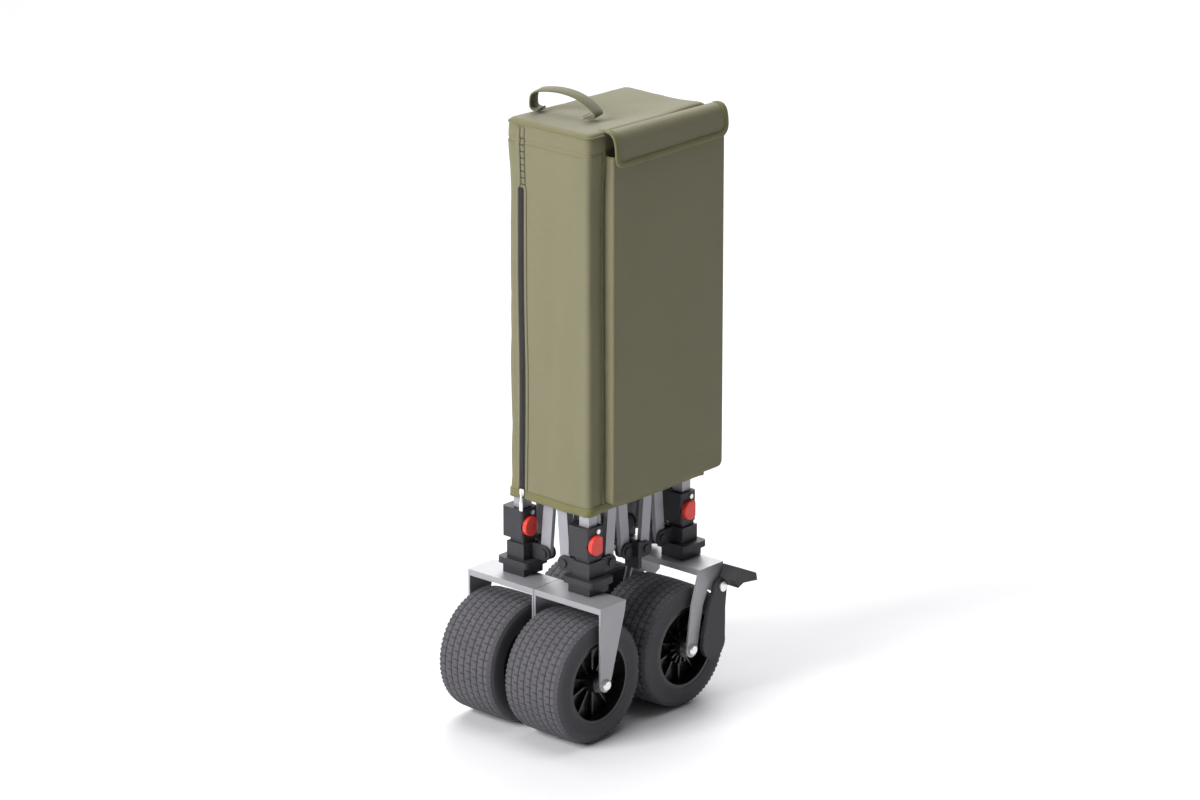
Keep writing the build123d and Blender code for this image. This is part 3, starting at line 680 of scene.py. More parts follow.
for corner in CORNERS:
    low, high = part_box(f"{corner}_tyre")
    middle = [(low[i] + high[i]) / 2 / MM for i in range(3)]
    make_tyre(corner, middle)
    circles = [lug_path(middle, side * LUG_AT) for side in (-1, 1)]
    wheel = f"{corner}_wheel"
    repeat_along(f"{corner}_tyre_lugs", circles, LUG_SPACING, LUG, LUG_RUBBER_PAINTED_HIGHLIGHT, wheel)

# %% [markdown]
# ## The cover
# The cover is a box of coated polyester, open below and dropped over the folded frame. Cloth on a
# frame is never flat: it pulls in where nothing holds it out, swells at the top where the castings
# push, and hangs free at the hem. So the walls are one grid round the box, moved by a function of
# place, and every strip, seam and stitch asks the same function where the cloth is.

# %% Cover sizes
COVER_HALF = 74.0
COVER_Y = (-78.0, 168.0)
HEM_Z = 321.0
TOP_Z = 874.0
CORNER = 9.0
TOP_ROUND = 7.0
CLOTH_MM = 1.6
HEM_TAPE = 12.0
POCKET_X = 91.0
POCKET_Y = (-46.0, 190.0)
POCKET_Z = (332.0, 838.0)
BAND_Z = 845.0
ZIP_X = -50.0
ZIP_Z = (322.0, 776.0)
MIDDLE_Y = sum(COVER_Y) / 2
DEPTH_HALF = (COVER_Y[1] - COVER_Y[0]) / 2
COLUMNS = 150
ROW_MM = 6.2
cover_parts = []

# %% Places round the cover
SIDE_RUN = 2 * DEPTH_HALF - 2 * CORNER
END_RUN = 2 * COVER_HALF - 2 * CORNER
ARC = math.pi / 2 * CORNER
PERIMETER = 2 * (SIDE_RUN + END_RUN + 2 * ARC)


def hangs_on_fold(thing):
    """Give a piece a mesh of its own."""
    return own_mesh(thing)


def ring_point(s):
    """A place round the box, s mm from its back left corner: (x, y) and the outward direction."""
    s %= PERIMETER
    x, y = COVER_HALF - CORNER, DEPTH_HALF - CORNER
    runs = (
        (SIDE_RUN, (-x, y), math.pi),
        (END_RUN, (-x, -y), 1.5 * math.pi),
        (SIDE_RUN, (x, -y), 0.0),
        (END_RUN, (x, y), 0.5 * math.pi),
    )
    for run, centre, facing in runs:
        if s <= run:
            along = facing + math.pi / 2
            px = centre[0] + CORNER * math.cos(facing) + s * math.cos(along)
            py = centre[1] + CORNER * math.sin(facing) + s * math.sin(along)
            return px, MIDDLE_Y + py, math.cos(facing), math.sin(facing)
        s -= run
        if s <= ARC:
            turn = facing + s / CORNER
            px = centre[0] + run * math.cos(facing + math.pi / 2) + CORNER * math.cos(turn)
            py = centre[1] + run * math.sin(facing + math.pi / 2) + CORNER * math.sin(turn)
            return px, MIDDLE_Y + py, math.cos(turn), math.sin(turn)
        s -= ARC
    return ring_point(0.0)


def zip_side(x):
    """The place round the box of a point on the zip side."""
    return SIDE_RUN + ARC + (x + COVER_HALF - CORNER)


def pocket_side(y):
    """The place round the box of a point on the pocket side."""
    return SIDE_RUN + END_RUN + 2 * ARC + (y - COVER_Y[0] - CORNER)


print("the cover is", round(PERIMETER), "mm round")


# %% Where the cloth is
def bump(value, middle, width):
    """A smooth hill of height 1."""
    return math.exp(-(((value - middle) / width) ** 2))


def swell(s, z):
    """How far the cloth stands out from the flat box, in mm."""
    x, y, nx, ny = ring_point(s)
    soft = noise.noise(Vector((x / 60, y / 60, z / 95)))
    fine = noise.noise(Vector((x / 17, y / 17, z / 60 + 9)))
    out = 1.1 * soft + 0.45 * fine
    # slack cloth hangs in long folds that stand nearly upright
    if ny < 0.5:
        out += 1.4 * noise.noise(Vector((x / 36, y / 36, z / 210 + 5)))
    # nothing holds the cloth out at mid height, and the castings push it out at the top
    out += 2.2 * bump(z, 846, 34) - 1.2 * bump(z, 680, 90) * abs(nx)
    out += 2.4 * bump(z, 318, 26)
    # the frame's square corners press the cloth out, and the board holds it flat in the pocket
    wander = abs(noise.noise(Vector((x / 90, y / 90, z / 85))))
    out = max(out, -0.8) + (3.6 + 4.0 * wander) * abs(nx * ny)
    if x > 0 and POCKET_Y[0] < y:
        out = min(out, 0.2 + 9 * abs(nx * ny))
    if ny < -0.7:
        out = max(out, -0.6) + 1.6 * bump(x, 38, 26) * bump(z, 815, 70)
        out *= 1 - bump(x, ZIP_X, 9) * (0.85 if z < 790 else 0.3)
    out -= 1.1 * bump(z, BAND_Z, 1.6)
    out -= 1.2 * bump(s, pocket_side(POCKET_Y[0] - 7.5), 1.8)
    return out


def on_cover(s, z, proud=0.0):
    """A point of the cover's wall, or proud of it."""
    x, y, nx, ny = ring_point(s)
    hang = 2.2 * noise.noise(Vector((s / 75, 4.2, 0))) * max(0.0, 1 - (z - HEM_Z) / 70)
    out = swell(s, z) + proud
    return (x + nx * out, y + ny * out, z + hang)


def top_height(x, y):
    """The top panel: a little lower at the far end, slack in the middle."""
    across, along = x / COVER_HALF, (y - MIDDLE_Y) / DEPTH_HALF
    slack = (1 - across**2) * (1 - along**2)
    height = TOP_Z - 3.0 * (along + 1) - 5.5 * slack
    height += 2.0 * noise.noise(Vector((x / 45, y / 60, 2.5))) * slack
    height += 3.5 * bump(across, 0.95, 0.4) * bump(along, 0.8, 0.4)
    return height


print("middle of the zip side stands out by", round(swell(zip_side(0), 600), 2), "mm")


def merged(name, meshes, close_above=None):
    """Join meshes, and sew them where their points meet. A slit above a height in mm is closed, as
    in the top panel, whose rings shrink to a line."""
    work = bmesh.new()
    for mesh in meshes:
        work.from_mesh(mesh)
    bmesh.ops.remove_doubles(work, verts=work.verts, dist=2e-5)
    if close_above:
        high = close_above * MM
        slit = [e for e in work.edges if e.is_boundary and min(v.co.z for v in e.verts) > high]
        bmesh.ops.triangle_fill(work, use_beauty=True, use_dissolve=False, edges=slit, normal=(0, 0, 1))
    mesh = bpy.data.meshes.new(name)
    work.to_mesh(mesh)
    work.free()
    mesh.polygons.foreach_set("use_smooth", [True] * len(mesh.polygons))
    return mesh


# %% Walls
around = [PERIMETER * j / COLUMNS for j in range(COLUMNS)]
for exact in (zip_side(ZIP_X), pocket_side(POCKET_Y[0] - 7.5)):
    nearest = min(range(COLUMNS), key=lambda j: abs(around[j] - exact))
    around[nearest] = exact
heights = [HEM_Z + ROW_MM * i for i in range(84)]
heights = [z for z in heights if z < BAND_Z - 5] + [BAND_Z - 3, BAND_Z - 1.2, BAND_Z, BAND_Z + 1.2]
heights += [BAND_Z + 3, BAND_Z + 8, TOP_Z - TOP_ROUND - 7, TOP_Z - TOP_ROUND]
wall_rows = [[on_cover(s, z) for s in around] for z in heights]
print("walls:", len(wall_rows), "rows of", COLUMNS, "points")

# %% Top panel
insets = [0, 1.0, 2.6, 4.6] + spread(TOP_ROUND, TOP_ROUND + 61.6, 11) + [COVER_HALF - 1.5]
top_rows = []
for inset in insets:
    row = []
    for s in around:
        x, y = ring_point(s)[:2]
        x0, y0, _ = on_cover(s, heights[-1])
        share = (1 - inset / COVER_HALF, 1 - inset / DEPTH_HALF)
        ease = max(0.0, 1 - inset / 30)
        px = x * share[0] + (x0 - x) * ease
        py = MIDDLE_Y + (y - MIDDLE_Y) * share[1] + (y0 - y) * ease
        round_off = TOP_ROUND - math.sqrt(TOP_ROUND**2 - max(0.0, TOP_ROUND - inset) ** 2)
        row.append((px, py, top_height(px, py) - round_off))
    top_rows.append(row)
wall_rows[-1] = top_rows[0]  # the walls meet the top panel all the way round
walls = grid_mesh("walls", wall_rows, wrap=True, layout=lambda r, t: (t * PERIMETER / COLUMNS, heights[r]))


def top_layout(row, turn):
    point = top_rows[row][turn % COLUMNS]
    return (1000 + point[0], point[1])


lid = grid_mesh("lid", top_rows, wrap=True, layout=top_layout)
cover = put(merged("cover_cloth", [walls, lid], close_above=840), "cover", "olive_fabric", CLOTH)
thicken(cover, CLOTH_MM)
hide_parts("cover_shell")
cover_parts.append(cover)
print("cover:", len(cover.data.polygons), "faces")


# %% Strips and stitches that are sewn to the cover
STITCH = (0.9, 0.9, 2.6)
STITCH_SPACING = 3.9


def sewn(name, rows, layout, thick, material, body="cover", slot_name="olive_fabric"):
    """A strip of cloth from rows of points, with its thickness."""
    strip = thicken(put(grid_mesh(name, rows, layout=layout), body, slot_name, material), thick)
    if body == "cover":
        cover_parts.append(strip)
    return strip


def stitches(
    name, paths, body="cover", spacing=STITCH_SPACING, block=STITCH, finish=THREAD
):
    """Rows of stitches, or of another small block, along paths of points."""
    row = repeat_along(name, paths, spacing, block, finish, body)
    if body == "cover":
        cover_parts.append(row)
    return row


def wall_strip(name, s_run, z_run):
    """A strip of binding on the wall between two places round it and two heights."""
    places = spread(*s_run, max(2, round((s_run[1] - s_run[0]) / 5)))
    levels = spread(*z_run, max(2, round((z_run[1] - z_run[0]) / 6)))
    rows = [[on_cover(s, z, 0.7) for s in places] for z in levels]
    sewn(name, rows, lambda r, t: (t * 5, r * 6), 1.1, BINDING)


# %% Hem, pocket seam and their stitches
junction = pocket_side(POCKET_Y[0])
wall_strip("hem_binding", (0, PERIMETER), (HEM_Z - 0.6, HEM_Z + HEM_TAPE))
wall_strip("pocket_seam_binding", (junction - 6.2, junction - 0.4), (HEM_Z + HEM_TAPE, TOP_Z - 12))

zip_place = zip_side(ZIP_X)
all_round = (0, PERIMETER)
beside_pocket = (pocket_side(COVER_Y[1] - CORNER) + 9, pocket_side(POCKET_Y[0]) + PERIMETER)
lines = [
    (all_round, (HEM_Z + 9.5, HEM_Z + 9.5), 0.8),
    (beside_pocket, (BAND_Z - 5, BAND_Z - 5), 0.1),
    ((zip_place - 8, zip_place - 8), (HEM_Z + 14, ZIP_Z[1]), 0.1),
    ((zip_place + 8, zip_place + 8), (HEM_Z + 14, ZIP_Z[1]), 0.1),
    ((junction - 5.2, junction - 5.2), (HEM_Z + 14, TOP_Z - 14), 0.8),
]
paths = []
for s_run, z_run, proud in lines:
    count = round(max(s_run[1] - s_run[0], z_run[1] - z_run[0]) / 4)
    paths.append([on_cover(s, z, proud) for s, z in zip(spread(*s_run, count), spread(*z_run, count))])
stitches("cover_stitches", paths)

# %% Piping
# a cord in a folded strip round the top edge; the flap's seam takes its place over the pocket
PIPING_R = 1.5
piping_rows = []
for j in range(COLUMNS):
    x, y, nx, ny = ring_point(around[j])
    if nx > 0.7 and y > POCKET_Y[0] - 1:
        continue
    px, py, pz = top_rows[0][j]
    ring = []
    for angle in spread(0, 2 * math.pi, 8)[:-1]:
        out = PIPING_R * math.cos(angle) + 0.4
        ring.append((px + nx * out, py + ny * out, pz + 1.2 + PIPING_R * math.sin(angle)))
    piping_rows.append((around[j], ring))
# begin the run just past the pocket, so that its two ends meet the flap
start = next(k for k, (s, _) in enumerate(piping_rows) if s > pocket_side(COVER_Y[1] - 20))
piping_rows = [ring for _, ring in piping_rows[start:] + piping_rows[:start]]
piping = grid_mesh("top_piping", piping_rows, wrap=True, layout=lambda r, t: (r * 5, t * 1.2))
tidy_shell(piping, 8)
cover_parts.append(put(piping, "cover", "olive_fabric", BINDING))
print("cover strips:", len(cover_parts))

# %% [markdown]
# ## The pocket and its flap
# The pocket is a shallow box sewn to the side, stiff because the folded floor board fills it, so its
# face is nearly flat and its edges are crisp. It is an open shell: the mouth is at the top, under the
# flap. The flap is a sheet that rolls over the mouth, bound with bright tape, with round corners.

# %% Pocket shell
POCKET_CORNER = 9.0
POCKET_EDGE = 2.6
POCKET_HALF = (POCKET_Y[1] - POCKET_Y[0]) / 2
POCKET_TALL = POCKET_Z[1] - POCKET_Z[0]
pocket_middle = (sum(POCKET_Y) / 2, POCKET_Z[1])

# the outline runs down one side, along the bottom and up the other
(y0, y1), (z0, z1) = POCKET_Y, POCKET_Z
outline = resampled(rounded([(y0, z1), (y0, z0), (y1, z0), (y1, z1)], POCKET_CORNER, 6), 6.5)
print("pocket outline:", len(outline), "points")


def pocket_out(y, z):
    """How far the filled pocket's face stands proud of flat."""
    along, up = (y - pocket_middle[0]) / POCKET_HALF, (z - sum(POCKET_Z) / 2) / (POCKET_TALL / 2)
    full = max(0.0, 1 - along**4) * max(0.0, 1 - up**4)
    return 0.9 * full + 0.5 * full * noise.noise(Vector((y / 60, z / 70, 3.3)))


depths = [(COVER_HALF - 0.8, 0), (79, 0), (84, 0), (POCKET_X - POCKET_EDGE, 0)]
for step in range(1, 5):
    angle = math.pi / 2 * step / 4
    inset = POCKET_EDGE * (1 - math.cos(angle))
    depths.append((POCKET_X - POCKET_EDGE + POCKET_EDGE * math.sin(angle), inset))
insets = [(POCKET_X, inset) for inset in (5, 8, 14, 22, 32, 44, 57, 71, 86, 101, POCKET_HALF)]


def pocket_row(x, inset):
    """The outline at a depth, drawn in by an inset towards the middle of the mouth."""
    row = []
    for y, z in outline:
        py = pocket_middle[0] + (y - pocket_middle[0]) * (1 - inset / POCKET_HALF)
        pz = pocket_middle[1] - (pocket_middle[1] - z) * (1 - inset / POCKET_TALL)
        face = pocket_out(py, pz) if x > POCKET_X - 0.5 else 0.0
        puff = 0.7 * math.sin(math.pi * (x - 73) / 18) if x < POCKET_X - 1 else 0.0
        side = -1 if y < pocket_middle[0] else 1
        py += side * puff if POCKET_Z[0] + 4 < z else 0.0
        row.append((x + face, py, pz))
    return row


# %% Pocket
pocket_rows = [pocket_row(x, inset) for x, inset in depths + insets]
run = polyline_length(outline) / (len(outline) - 1)
wall_count = len(depths)
wall_mesh = grid_mesh(
    "pocket_side", pocket_rows[:wall_count], layout=lambda r, t: (2000 + t * run, pocket_rows[r][t][0])
)
face_mesh = grid_mesh(
    "pocket_face",
    pocket_rows[wall_count - 1 :],
    layout=lambda r, t: pocket_rows[wall_count - 1 + r][t][1:],
)
pocket = put(merged("pocket_cloth", [wall_mesh, face_mesh]), "cover", "olive_fabric", CLOTH)
thicken(pocket, CLOTH_MM)
cover_parts.append(pocket)

# tape round the mouth
mouth = [(73.2, POCKET_Y[0] - 0.6), (POCKET_X + 0.5, POCKET_Y[0] - 0.6)]
mouth += [(POCKET_X + 0.5, POCKET_Y[1] + 0.6), (73.2, POCKET_Y[1] + 0.6)]
mouth = resampled(rounded(mouth, 3.0, 4), 6)
rows = [[(x, y, z) for x, y in mouth] for z in (826, 832, 838.6)]
sewn("mouth_binding", rows, lambda r, t: (t * 6, r * 6), 1.0, BINDING)
print("pocket:", len(pocket.data.polygons), "faces")

# %% Where the flap is
FLAP_Y = (-46.2, 191.6)
FLAP_CORNER = 15.0
FLAP_TAPE = 8.0
FLAP_STEPS = 24
HINGE_X = 74.0
HINGE_Z = 872.6
flap_curve = [(HINGE_X, HINGE_Z), (79, 872.5), (86, 871), (91.5, 865.5), (94.6, 857), (95.8, 846)]
flap_curve += [(96.2, 834), (96.4, 821)]
flap_curve = resampled(rounded(flap_curve, 6, 3), 3.0)
FLAP_LONG = polyline_length(flap_curve)
print("flap:", round(FLAP_LONG), "mm from seam to edge")


def seam_slope(y, along):
    """The flap's sewn edge follows the slope of the top panel; its free edge hangs level."""
    along_top = (y - MIDDLE_Y) / DEPTH_HALF
    return -3.0 * (along_top + 1) * (1 - min(1.0, along / 45)) + 1.2


def flap_point(y, along, proud=0.0):
    """A point of the flap: y across it, and a distance from its sewn edge down its curve."""
    t = along / FLAP_LONG * (len(flap_curve) - 1)
    i = min(int(t), len(flap_curve) - 2)
    (x0, z0), (x1, z1) = flap_curve[i], flap_curve[i + 1]
    f = t - i
    length = math.hypot(x1 - x0, z1 - z0)
    nx, nz = -(z1 - z0) / length, (x1 - x0) / length
    free = min(1.0, along / 25)
    lift = 1.3 * noise.noise(Vector((y / 55, along / 40, 7.7))) + 0.8 * math.sin(y / 38 + 1)
    out = proud + free * max(-0.4, lift)
    return (x0 + (x1 - x0) * f + nx * out, y, z0 + (z1 - z0) * f + nz * out + seam_slope(y, along))


# %% Flap
# rows run down the sheet, and its lower corners are rounded off
y0, y1 = FLAP_Y
ends = [0, 0.4, 1.5, 3.5, 6.5, 10]
ys = [y0 + e for e in ends] + spread(y0 + 15, y1 - 15, 34) + [y1 - e for e in reversed(ends)]
rows = []
for y in ys:
    end = min(y - y0, y1 - y, FLAP_CORNER)
    cut = FLAP_CORNER - math.sqrt(FLAP_CORNER**2 - (FLAP_CORNER - end) ** 2)
    rows.append([flap_point(y, along) for along in spread(0, FLAP_LONG - cut, FLAP_STEPS)])
flap = sewn("pocket_flap_cloth", rows, lambda r, t: (rows[r][t][1], t * 3.4), 1.8, CLOTH, "pocket_flap")
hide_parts("pocket_flap")


# %% Binding and stitches of the flap
def flap_outline(inset):
    """Along the flap's free edges, a distance inside them: (y, along)."""
    y0, y1, far = FLAP_Y[0] + inset, FLAP_Y[1] - inset, FLAP_LONG - inset
    line = [(y0, 1.0), (y0, far), (y1, far), (y1, 1.0)]
    return resampled(rounded(line, FLAP_CORNER - inset + 4, 8), 4.5)


edge_line = flap_outline(0.2)
inner_line = flap_outline(FLAP_TAPE)
shares = spread(0, 1, len(edge_line) - 1)


def along_line(line, share):
    """The point at a share of a run of points."""
    t = share * (len(line) - 1)
    i = min(int(t), len(line) - 2)
    f = t - i
    return [line[i][k] * (1 - f) + line[i + 1][k] * f for k in (0, 1)]


tape_rows = []
for k in (0, 0.33, 0.67, 1):
    row = []
    for share in shares:
        a, b = along_line(edge_line, share), along_line(inner_line, share)
        row.append(flap_point(a[0] * (1 - k) + b[0] * k, a[1] * (1 - k) + b[1] * k, 0.8))
    tape_rows.append(row)
flap_tape = sewn("flap_binding", tape_rows, lambda r, t: (t * 4.5, r * 2.7), 1.1, BINDING, "pocket_flap")
stitched = [flap_point(*along_line(inner_line, share), 1.0) for share in shares]
flap_stitches = stitches("flap_stitches", [stitched], "pocket_flap")
for thing in (flap, flap_tape, flap_stitches):
    hangs_on_fold(thing)

# %% Flap seam
# the seam allowance lies on the cover's top and stays there when the flap is lifted
SEAM_X = 62.0
rows = []
for y in spread(FLAP_Y[0] + 0.5, COVER_Y[1] - 6.5, 39):
    lip = []
    for x in (SEAM_X, 63, 66, 70, HINGE_X - 0.8):
        edge = min(1.0, (x - SEAM_X) / 10)
        z = top_height(SEAM_X, min(y, COVER_Y[1] - 6)) + (0.3 if x < 63 else 1.4)
        lip.append((x, y, z * (1 - edge) + (HINGE_Z + seam_slope(y, 0)) * edge))
    rows.append(lip)
sewn("flap_seam", rows, lambda r, t: (t * 4, r * 6), 1.6, CLOTH)

# %% [markdown]
# ## Carry handle
# A loop of 25 mm webbing, folded under and sewn down at both ends, and set askew to the box. Webbing
# bends one way only, so it is a flat ribbon along a curve in space.


# %% Ribbons
def ribbon(name, line, width_way, wide, thick):
    """The mesh of a flat strap of given width and thickness along a line of points."""
    way = Vector(width_way).normalized()
    w, h, edge = wide / 2, thick / 2, thick * 0.35
    lower = [(-w, -h + edge), (-w + edge, -h), (0, -h), (w - edge, -h), (w, -h + edge)]
    section = lower + [(-a, -b) for a, b in lower]
    rows = []
    for i, point in enumerate(line):
        p = Vector(point)
        before, after = Vector(line[max(0, i - 1)]), Vector(line[min(len(line) - 1, i + 1)])
        along = (after - before).normalized()
        side = (way - along * way.dot(along)).normalized()
        up = side.cross(along)
        rows.append([tuple(p + side * a + up * b) for a, b in section])
    step = polyline_length(line) / (len(line) - 1)
    mesh = grid_mesh(name, rows, wrap=True, layout=lambda r, t: (r * step, t * wide / 5))
    tidy_shell(mesh, len(section))
    return mesh


# %% Handle
HANDLE_WAY = (-0.27, 0.96, 0)
handle_line = [(-58, -27, 876.6), (-66, -29, 876.8), (-70.5, -30, 880), (-71, -30, 890), (-70, -29, 899)]
handle_line += [(-63, -27, 904), (-50, -23, 906.3), (-36, -19.5, 907.2), (-22, -15.5, 906.2)]
handle_line += [(-8, -11.5, 903), (4, -8, 898), (14, -5, 891), (22, -2.5, 883.5), (25.5, -1.5, 878.6)]
handle_line += [(22, -2.5, 875.2), (8, -6, 873.8)]
handle_line = resampled(rounded(handle_line, 8, 4), 3.0)
strap = ribbon("carry_handle_webbing", handle_line, HANDLE_WAY, 25, 2.6)
handle = put(strap, "cover", "webbing", WEBBING)
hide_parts("carry_handle")
cover_parts.append(handle)
feet = []
for x, y in ((-61, -28), (12, -5)):
    z = 878.4 if x < 0 else 875.6
    a, b = (x - 4, y - 10), (x + 4, y - 8)
    feet.append([(a[0], a[1], z), (a[0] - 5, a[1] + 19, z)])
    feet.append([(b[0], b[1], z), (b[0] - 5, b[1] + 19, z)])
stitches("handle_stitches", feet)

# %% [markdown]
# ## Zip
# The zip opens the end of the cover from the hem up. Its tape lies in a slit between two folded
# edges, and the coil's teeth stand in the middle. Above it the two edges are sewn together, with
# short bar tacks across the seam. The slider carries a small ivory puller, which hangs below the hem.

# %% Tape, teeth and seam
def zip_place_at(z):
    """The zip is sewn in by hand and eye, so its line wanders by a millimetre."""
    drift = 1.1 * math.sin(z / 62) * bump(z, 560, 190)
    return zip_side(ZIP_X + drift)


section = ((-5.8, 0.7), (-4.5, 0.75), (-1.6, 0.7), (0, 1.0), (1.6, 0.7), (4.5, 0.75), (5.8, 0.7))
rows = []
for z in spread(*ZIP_Z, 77):
    rows.append([on_cover(zip_place_at(z) + across, z, proud) for across, proud in section])
tape = sewn("zip_tape_cloth", rows, lambda r, t: (t * 2, r * 6), 1.0, ZIP_TAPE, slot_name="zip_black")
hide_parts("zip_tape")
TOOTH = (3.4, 1.0, 1.3)
TOOTH_SPACING = 2.2
line = [on_cover(zip_place_at(z), z, 1.1) for z in spread(*ZIP_Z, 120)]
stitches("zip_teeth", [line], "cover", TOOTH_SPACING, TOOTH, ZIP_TEETH)
for side in (-1, 1):
    rows = []
    for z in spread(HEM_Z + HEM_TAPE, TOP_Z - TOP_ROUND - 3, 89):
        s = zip_place_at(z)
        inner, outer = (5.2, 10.0) if z < ZIP_Z[1] + 2 else (0.5, 7.5)
        places = [inner + (outer - inner) * t for t in (0, 0.12, 0.5, 0.88, 1)]
        lift = (0.6, 1.5, 1.5, 1.2, 0.1)
        row = [on_cover(s + side * a, z, b) for a, b in zip(places, lift)]
        rows.append(row if side > 0 else row[::-1])
    name = f"zip_placket_{'right' if side > 0 else 'left'}"
    sewn(name, rows, lambda r, t: (t * 2, r * 6), 0.9, CLOTH)
TACK = (1.5, 0.9, 1.7)
TACK_SPACING = 1.6
tacks = []
for i in range(8):
    z = ZIP_Z[1] + 6 + 9.5 * i
    tacks.append([on_cover(zip_place + a, z, 1.7) for a in (0.5, 6.5)])
stitches("zip_bar_tacks", tacks, "cover", TACK_SPACING, TACK, ZIP_TAPE)

# %% Plates
SLIDER_Z = (324.0, 335.0)


def slab(outline, back, front, round_mm=0.5):
    """A flat plate in the zip's plane, from its outline of (x, z) points, with eased edges."""
    work = bmesh.new()
    verts = [work.verts.new((x * MM, back * MM, z * MM)) for x, z in outline]
    face = work.faces.new(verts)
    grown = bmesh.ops.extrude_face_region(work, geom=[face])
    moved = [item for item in grown["geom"] if isinstance(item, bmesh.types.BMVert)]
    bmesh.ops.translate(work, verts=moved, vec=(0, (front - back) * MM, 0))
    bmesh.ops.recalc_face_normals(work, faces=work.faces)
    rims = [e for e in work.edges if abs(e.verts[0].co.y - e.verts[1].co.y) < 1e-7]
    bmesh.ops.bevel(work, geom=rims, offset=round_mm * MM, segments=2, affect="EDGES", profile=0.5)
    mesh = bpy.data.meshes.new("slab")
    work.to_mesh(mesh)
    work.free()
    return mesh


def joined(name, parts):
    """One mesh of several closed solids, each with the number of its finish."""
    work = bmesh.new()
    for mesh, index in parts:
        before = len(work.faces)
        work.from_mesh(mesh)
        work.faces.ensure_lookup_table()
        for face in work.faces[before:]:
            face.material_index = index
            face.smooth = False
    made = bpy.data.meshes.new(name)
    work.to_mesh(made)
    work.free()
    return made


# %% Slider and puller
x, y = ZIP_X, COVER_Y[0]
z0, z1 = SLIDER_Z
body_outline = [(x - 2.6, z0), (x + 2.6, z0), (x + 4.2, z0 + 4), (x + 4.2, z1 - 1), (x + 2.8, z1)]
body_outline += [(x - 2.8, z1), (x - 4.2, z1 - 1), (x - 4.2, z0 + 4)]
bridge = [(x - 1.3, z0 + 2), (x + 1.3, z0 + 2), (x + 1.3, z1 - 2), (x - 1.3, z1 - 2)]
puller = [(x - 1.6, 327), (x + 1.6, 327), (x + 1.7, 318), (x + 3.0, 314), (x + 3.4, 303.5)]
puller += [(x + 2.4, 302), (x - 2.4, 302), (x - 3.4, 303.5), (x - 3.0, 314), (x - 1.7, 318)]
solids = [(slab(body_outline, y - 1.9, y - 3.8), 0), (slab(bridge, y - 3.7, y - 4.8, 0.4), 0)]
solids.append((slab(puller, y - 4.0, y - 5.5, 0.5), 1))
slider = put(joined("zip_slider_and_puller", solids), "zip_slider", "zip_metal", ZINC, PULLER)
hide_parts("zip_slider")
hangs_on_fold(slider)
print("slider and puller:", len(slider.data.polygons), "faces")

# %% [markdown]
# ## Floor board
# Three stiff panels in one cloth sleeve, hinged by the cloth between them, so that the board folds flat and
# fits the pocket. Each panel is a pad with soft edges.

# %% Panels
low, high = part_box("floor_board")
BOARD_Y = (low.y / MM + 0.5, high.y / MM - 0.5)
BOARD_Z = (low.z / MM + 0.3, 831.5)
PANEL_PITCH = 4.75
# the section of a panel's soft edge: (how far in, how far through)
PANEL_SECTION = [(60, 0.2), (8, 0.2), (3, 0.3), (0.8, 1.0), (0, 2.0), (0.8, 3.0), (3, 3.7), (8, 3.8)]
PANEL_SECTION.append((60, 3.8))
middle = (sum(BOARD_Y) / 2, sum(BOARD_Z) / 2)
start = (middle[0], BOARD_Z[0])
loop = [start, (BOARD_Y[1], BOARD_Z[0]), (BOARD_Y[1], BOARD_Z[1])]
loop += [(BOARD_Y[0], BOARD_Z[1]), (BOARD_Y[0], BOARD_Z[0]), start]
loop = resampled(rounded(loop, 12, 6), 9)[:-1]
board_parts = []
for i in range(3):
    x0 = low.x / MM + 0.1 + i * PANEL_PITCH
    rows = []
    for inset, x in PANEL_SECTION:
        row = []
        for y, z in loop:
            ky, kz = 1 - inset / (BOARD_Y[1] - middle[0]), 1 - inset / (BOARD_Z[1] - middle[1])
            row.append((x0 + x, middle[0] + (y - middle[0]) * ky, middle[1] + (z - middle[1]) * kz))
        rows.append(row)
    name = f"floor_board_panel_{i}"
    mesh = grid_mesh(name, rows, wrap=True, layout=lambda r, t: rows[r][t % len(loop)][1:])
    tidy_shell(mesh, len(loop))
    board_parts.append(put(mesh, "floor_board", "dark_olive_board", CLOTH))
arch = [(x, 831.0 + 2.6 * math.sin(math.pi * (x - 75) / 13.5)) for x in (75, 77.5, 80, 83, 86, 88.5)]
hinge = [[(x, y, z) for x, z in arch] for y in spread(BOARD_Y[0] + 20, BOARD_Y[1] - 20, 18)]
strip_mesh = grid_mesh("floor_board_hinge", hinge, layout=lambda r, t: (r * 12, t * 3), flip=True)
board_parts.append(thicken(put(strip_mesh, "floor_board", "dark_olive_board", BINDING), 0.8))
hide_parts("floor_board")
for thing in board_parts:
    hangs_on_fold(thing)
print("floor board:", len(board_parts), "pieces")

# %% [markdown]
# ## Tub
# The wagon's cloth tub hangs folded inside the frame when the wagon is shut. It is a deep bag with
# pleats that run up and down, and it is mostly hidden by the cover.

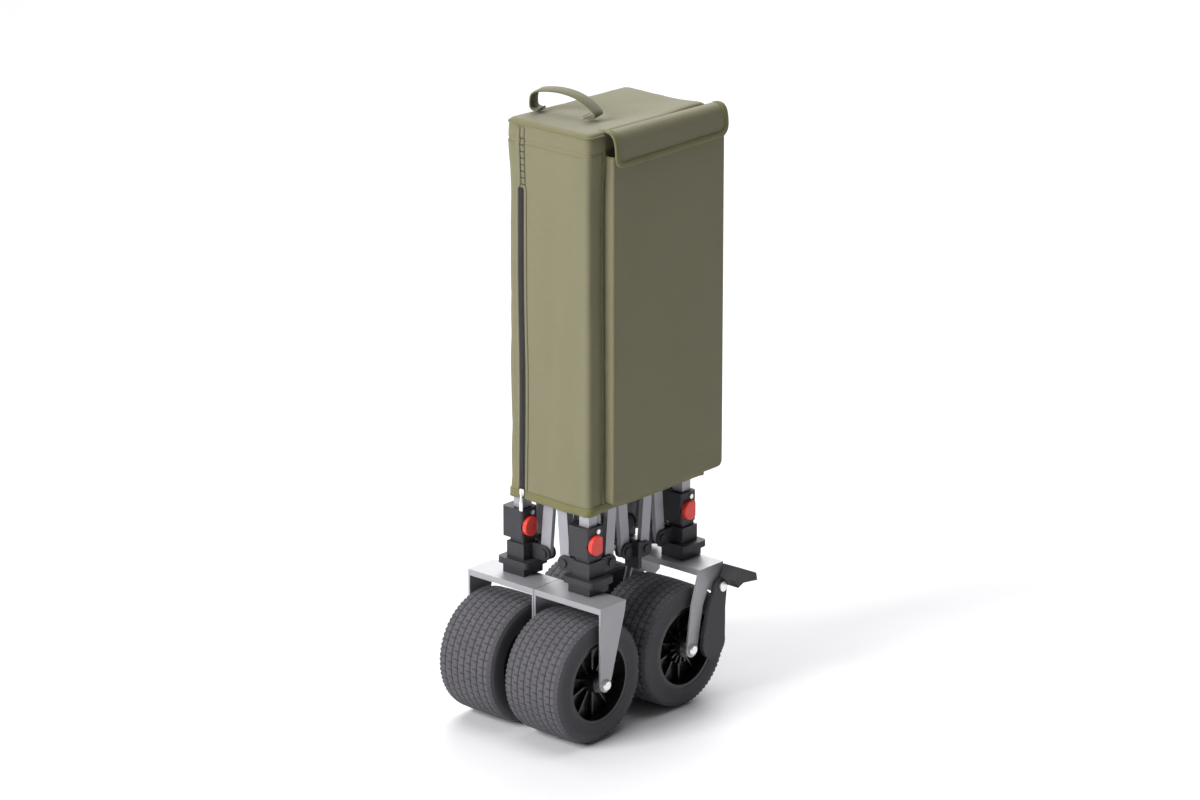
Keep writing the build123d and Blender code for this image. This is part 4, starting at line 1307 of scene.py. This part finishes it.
# %% Pleated bag
low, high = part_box("tub_fabric")
tub_low, tub_high = [v / MM for v in low], [v / MM for v in high]
mid_x, mid_y = (tub_low[0] + tub_high[0]) / 2, (tub_low[1] + tub_high[1]) / 2
half_x, half_y = (tub_high[0] - tub_low[0]) / 2 - 0.5, (tub_high[1] - tub_low[1]) / 2 - 0.5
AROUND_TUB = 120
PLEATS = 11
rows = []
for t in spread(0, 1, 40):
    z = tub_low[2] + 4 + (tub_high[2] - tub_low[2] - 5) * t
    close = min(1.0, 0.35 + 2.2 * t)
    row = []
    for angle in spread(0, 2 * math.pi, AROUND_TUB)[:-1]:
        square = max(abs(math.cos(angle)), abs(math.sin(angle)))
        pleat = 1 - 0.09 * (1 + math.sin(PLEATS * angle + 1.4 * math.sin(3 * t))) * (0.6 + 0.4 * t)
        soft = 1 - 0.03 * (1 + noise.noise(Vector((3 * math.cos(angle), 3 * math.sin(angle), 6 * t))))
        reach = 0.93 * close * pleat * soft / square ** 0.8
        x = mid_x + max(-half_x, min(half_x, half_x * math.cos(angle) * reach))
        y = mid_y + max(-half_y, min(half_y, half_y * math.sin(angle) * reach))
        row.append((x, y, z))
    rows.append(row)
base = [(mid_x, mid_y, tub_low[2] + 1.5)] * AROUND_TUB
floor_ring = [(mid_x + (p[0] - mid_x) * 0.5, mid_y + (p[1] - mid_y) * 0.5, tub_low[2] + 1.8) for p in rows[0]]
rows = [base, floor_ring] + rows
tub_mesh = grid_mesh("tub_cloth", rows, wrap=True, layout=lambda r, t: (t * 4, r * 11))
tub = put(merged("tub_cloth_bag", [tub_mesh]), "right_mid_lower", "tub_cloth", CLOTH)
thicken(tub, 1.5)
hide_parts("tub_fabric")
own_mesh(tub)
print("tub:", [round(v) for v in tub_low], [round(v) for v in tub_high])

# %% [markdown]
# ## The cover and the opening frame
# The real cover is taken off before the frame opens. Here every piece of the cover is given a mesh of its
# own.

# %% Cover parts get meshes of their own
for thing in cover_parts:
    hangs_on_fold(thing)
print("pieces that hang with the cover:", len(cover_parts))
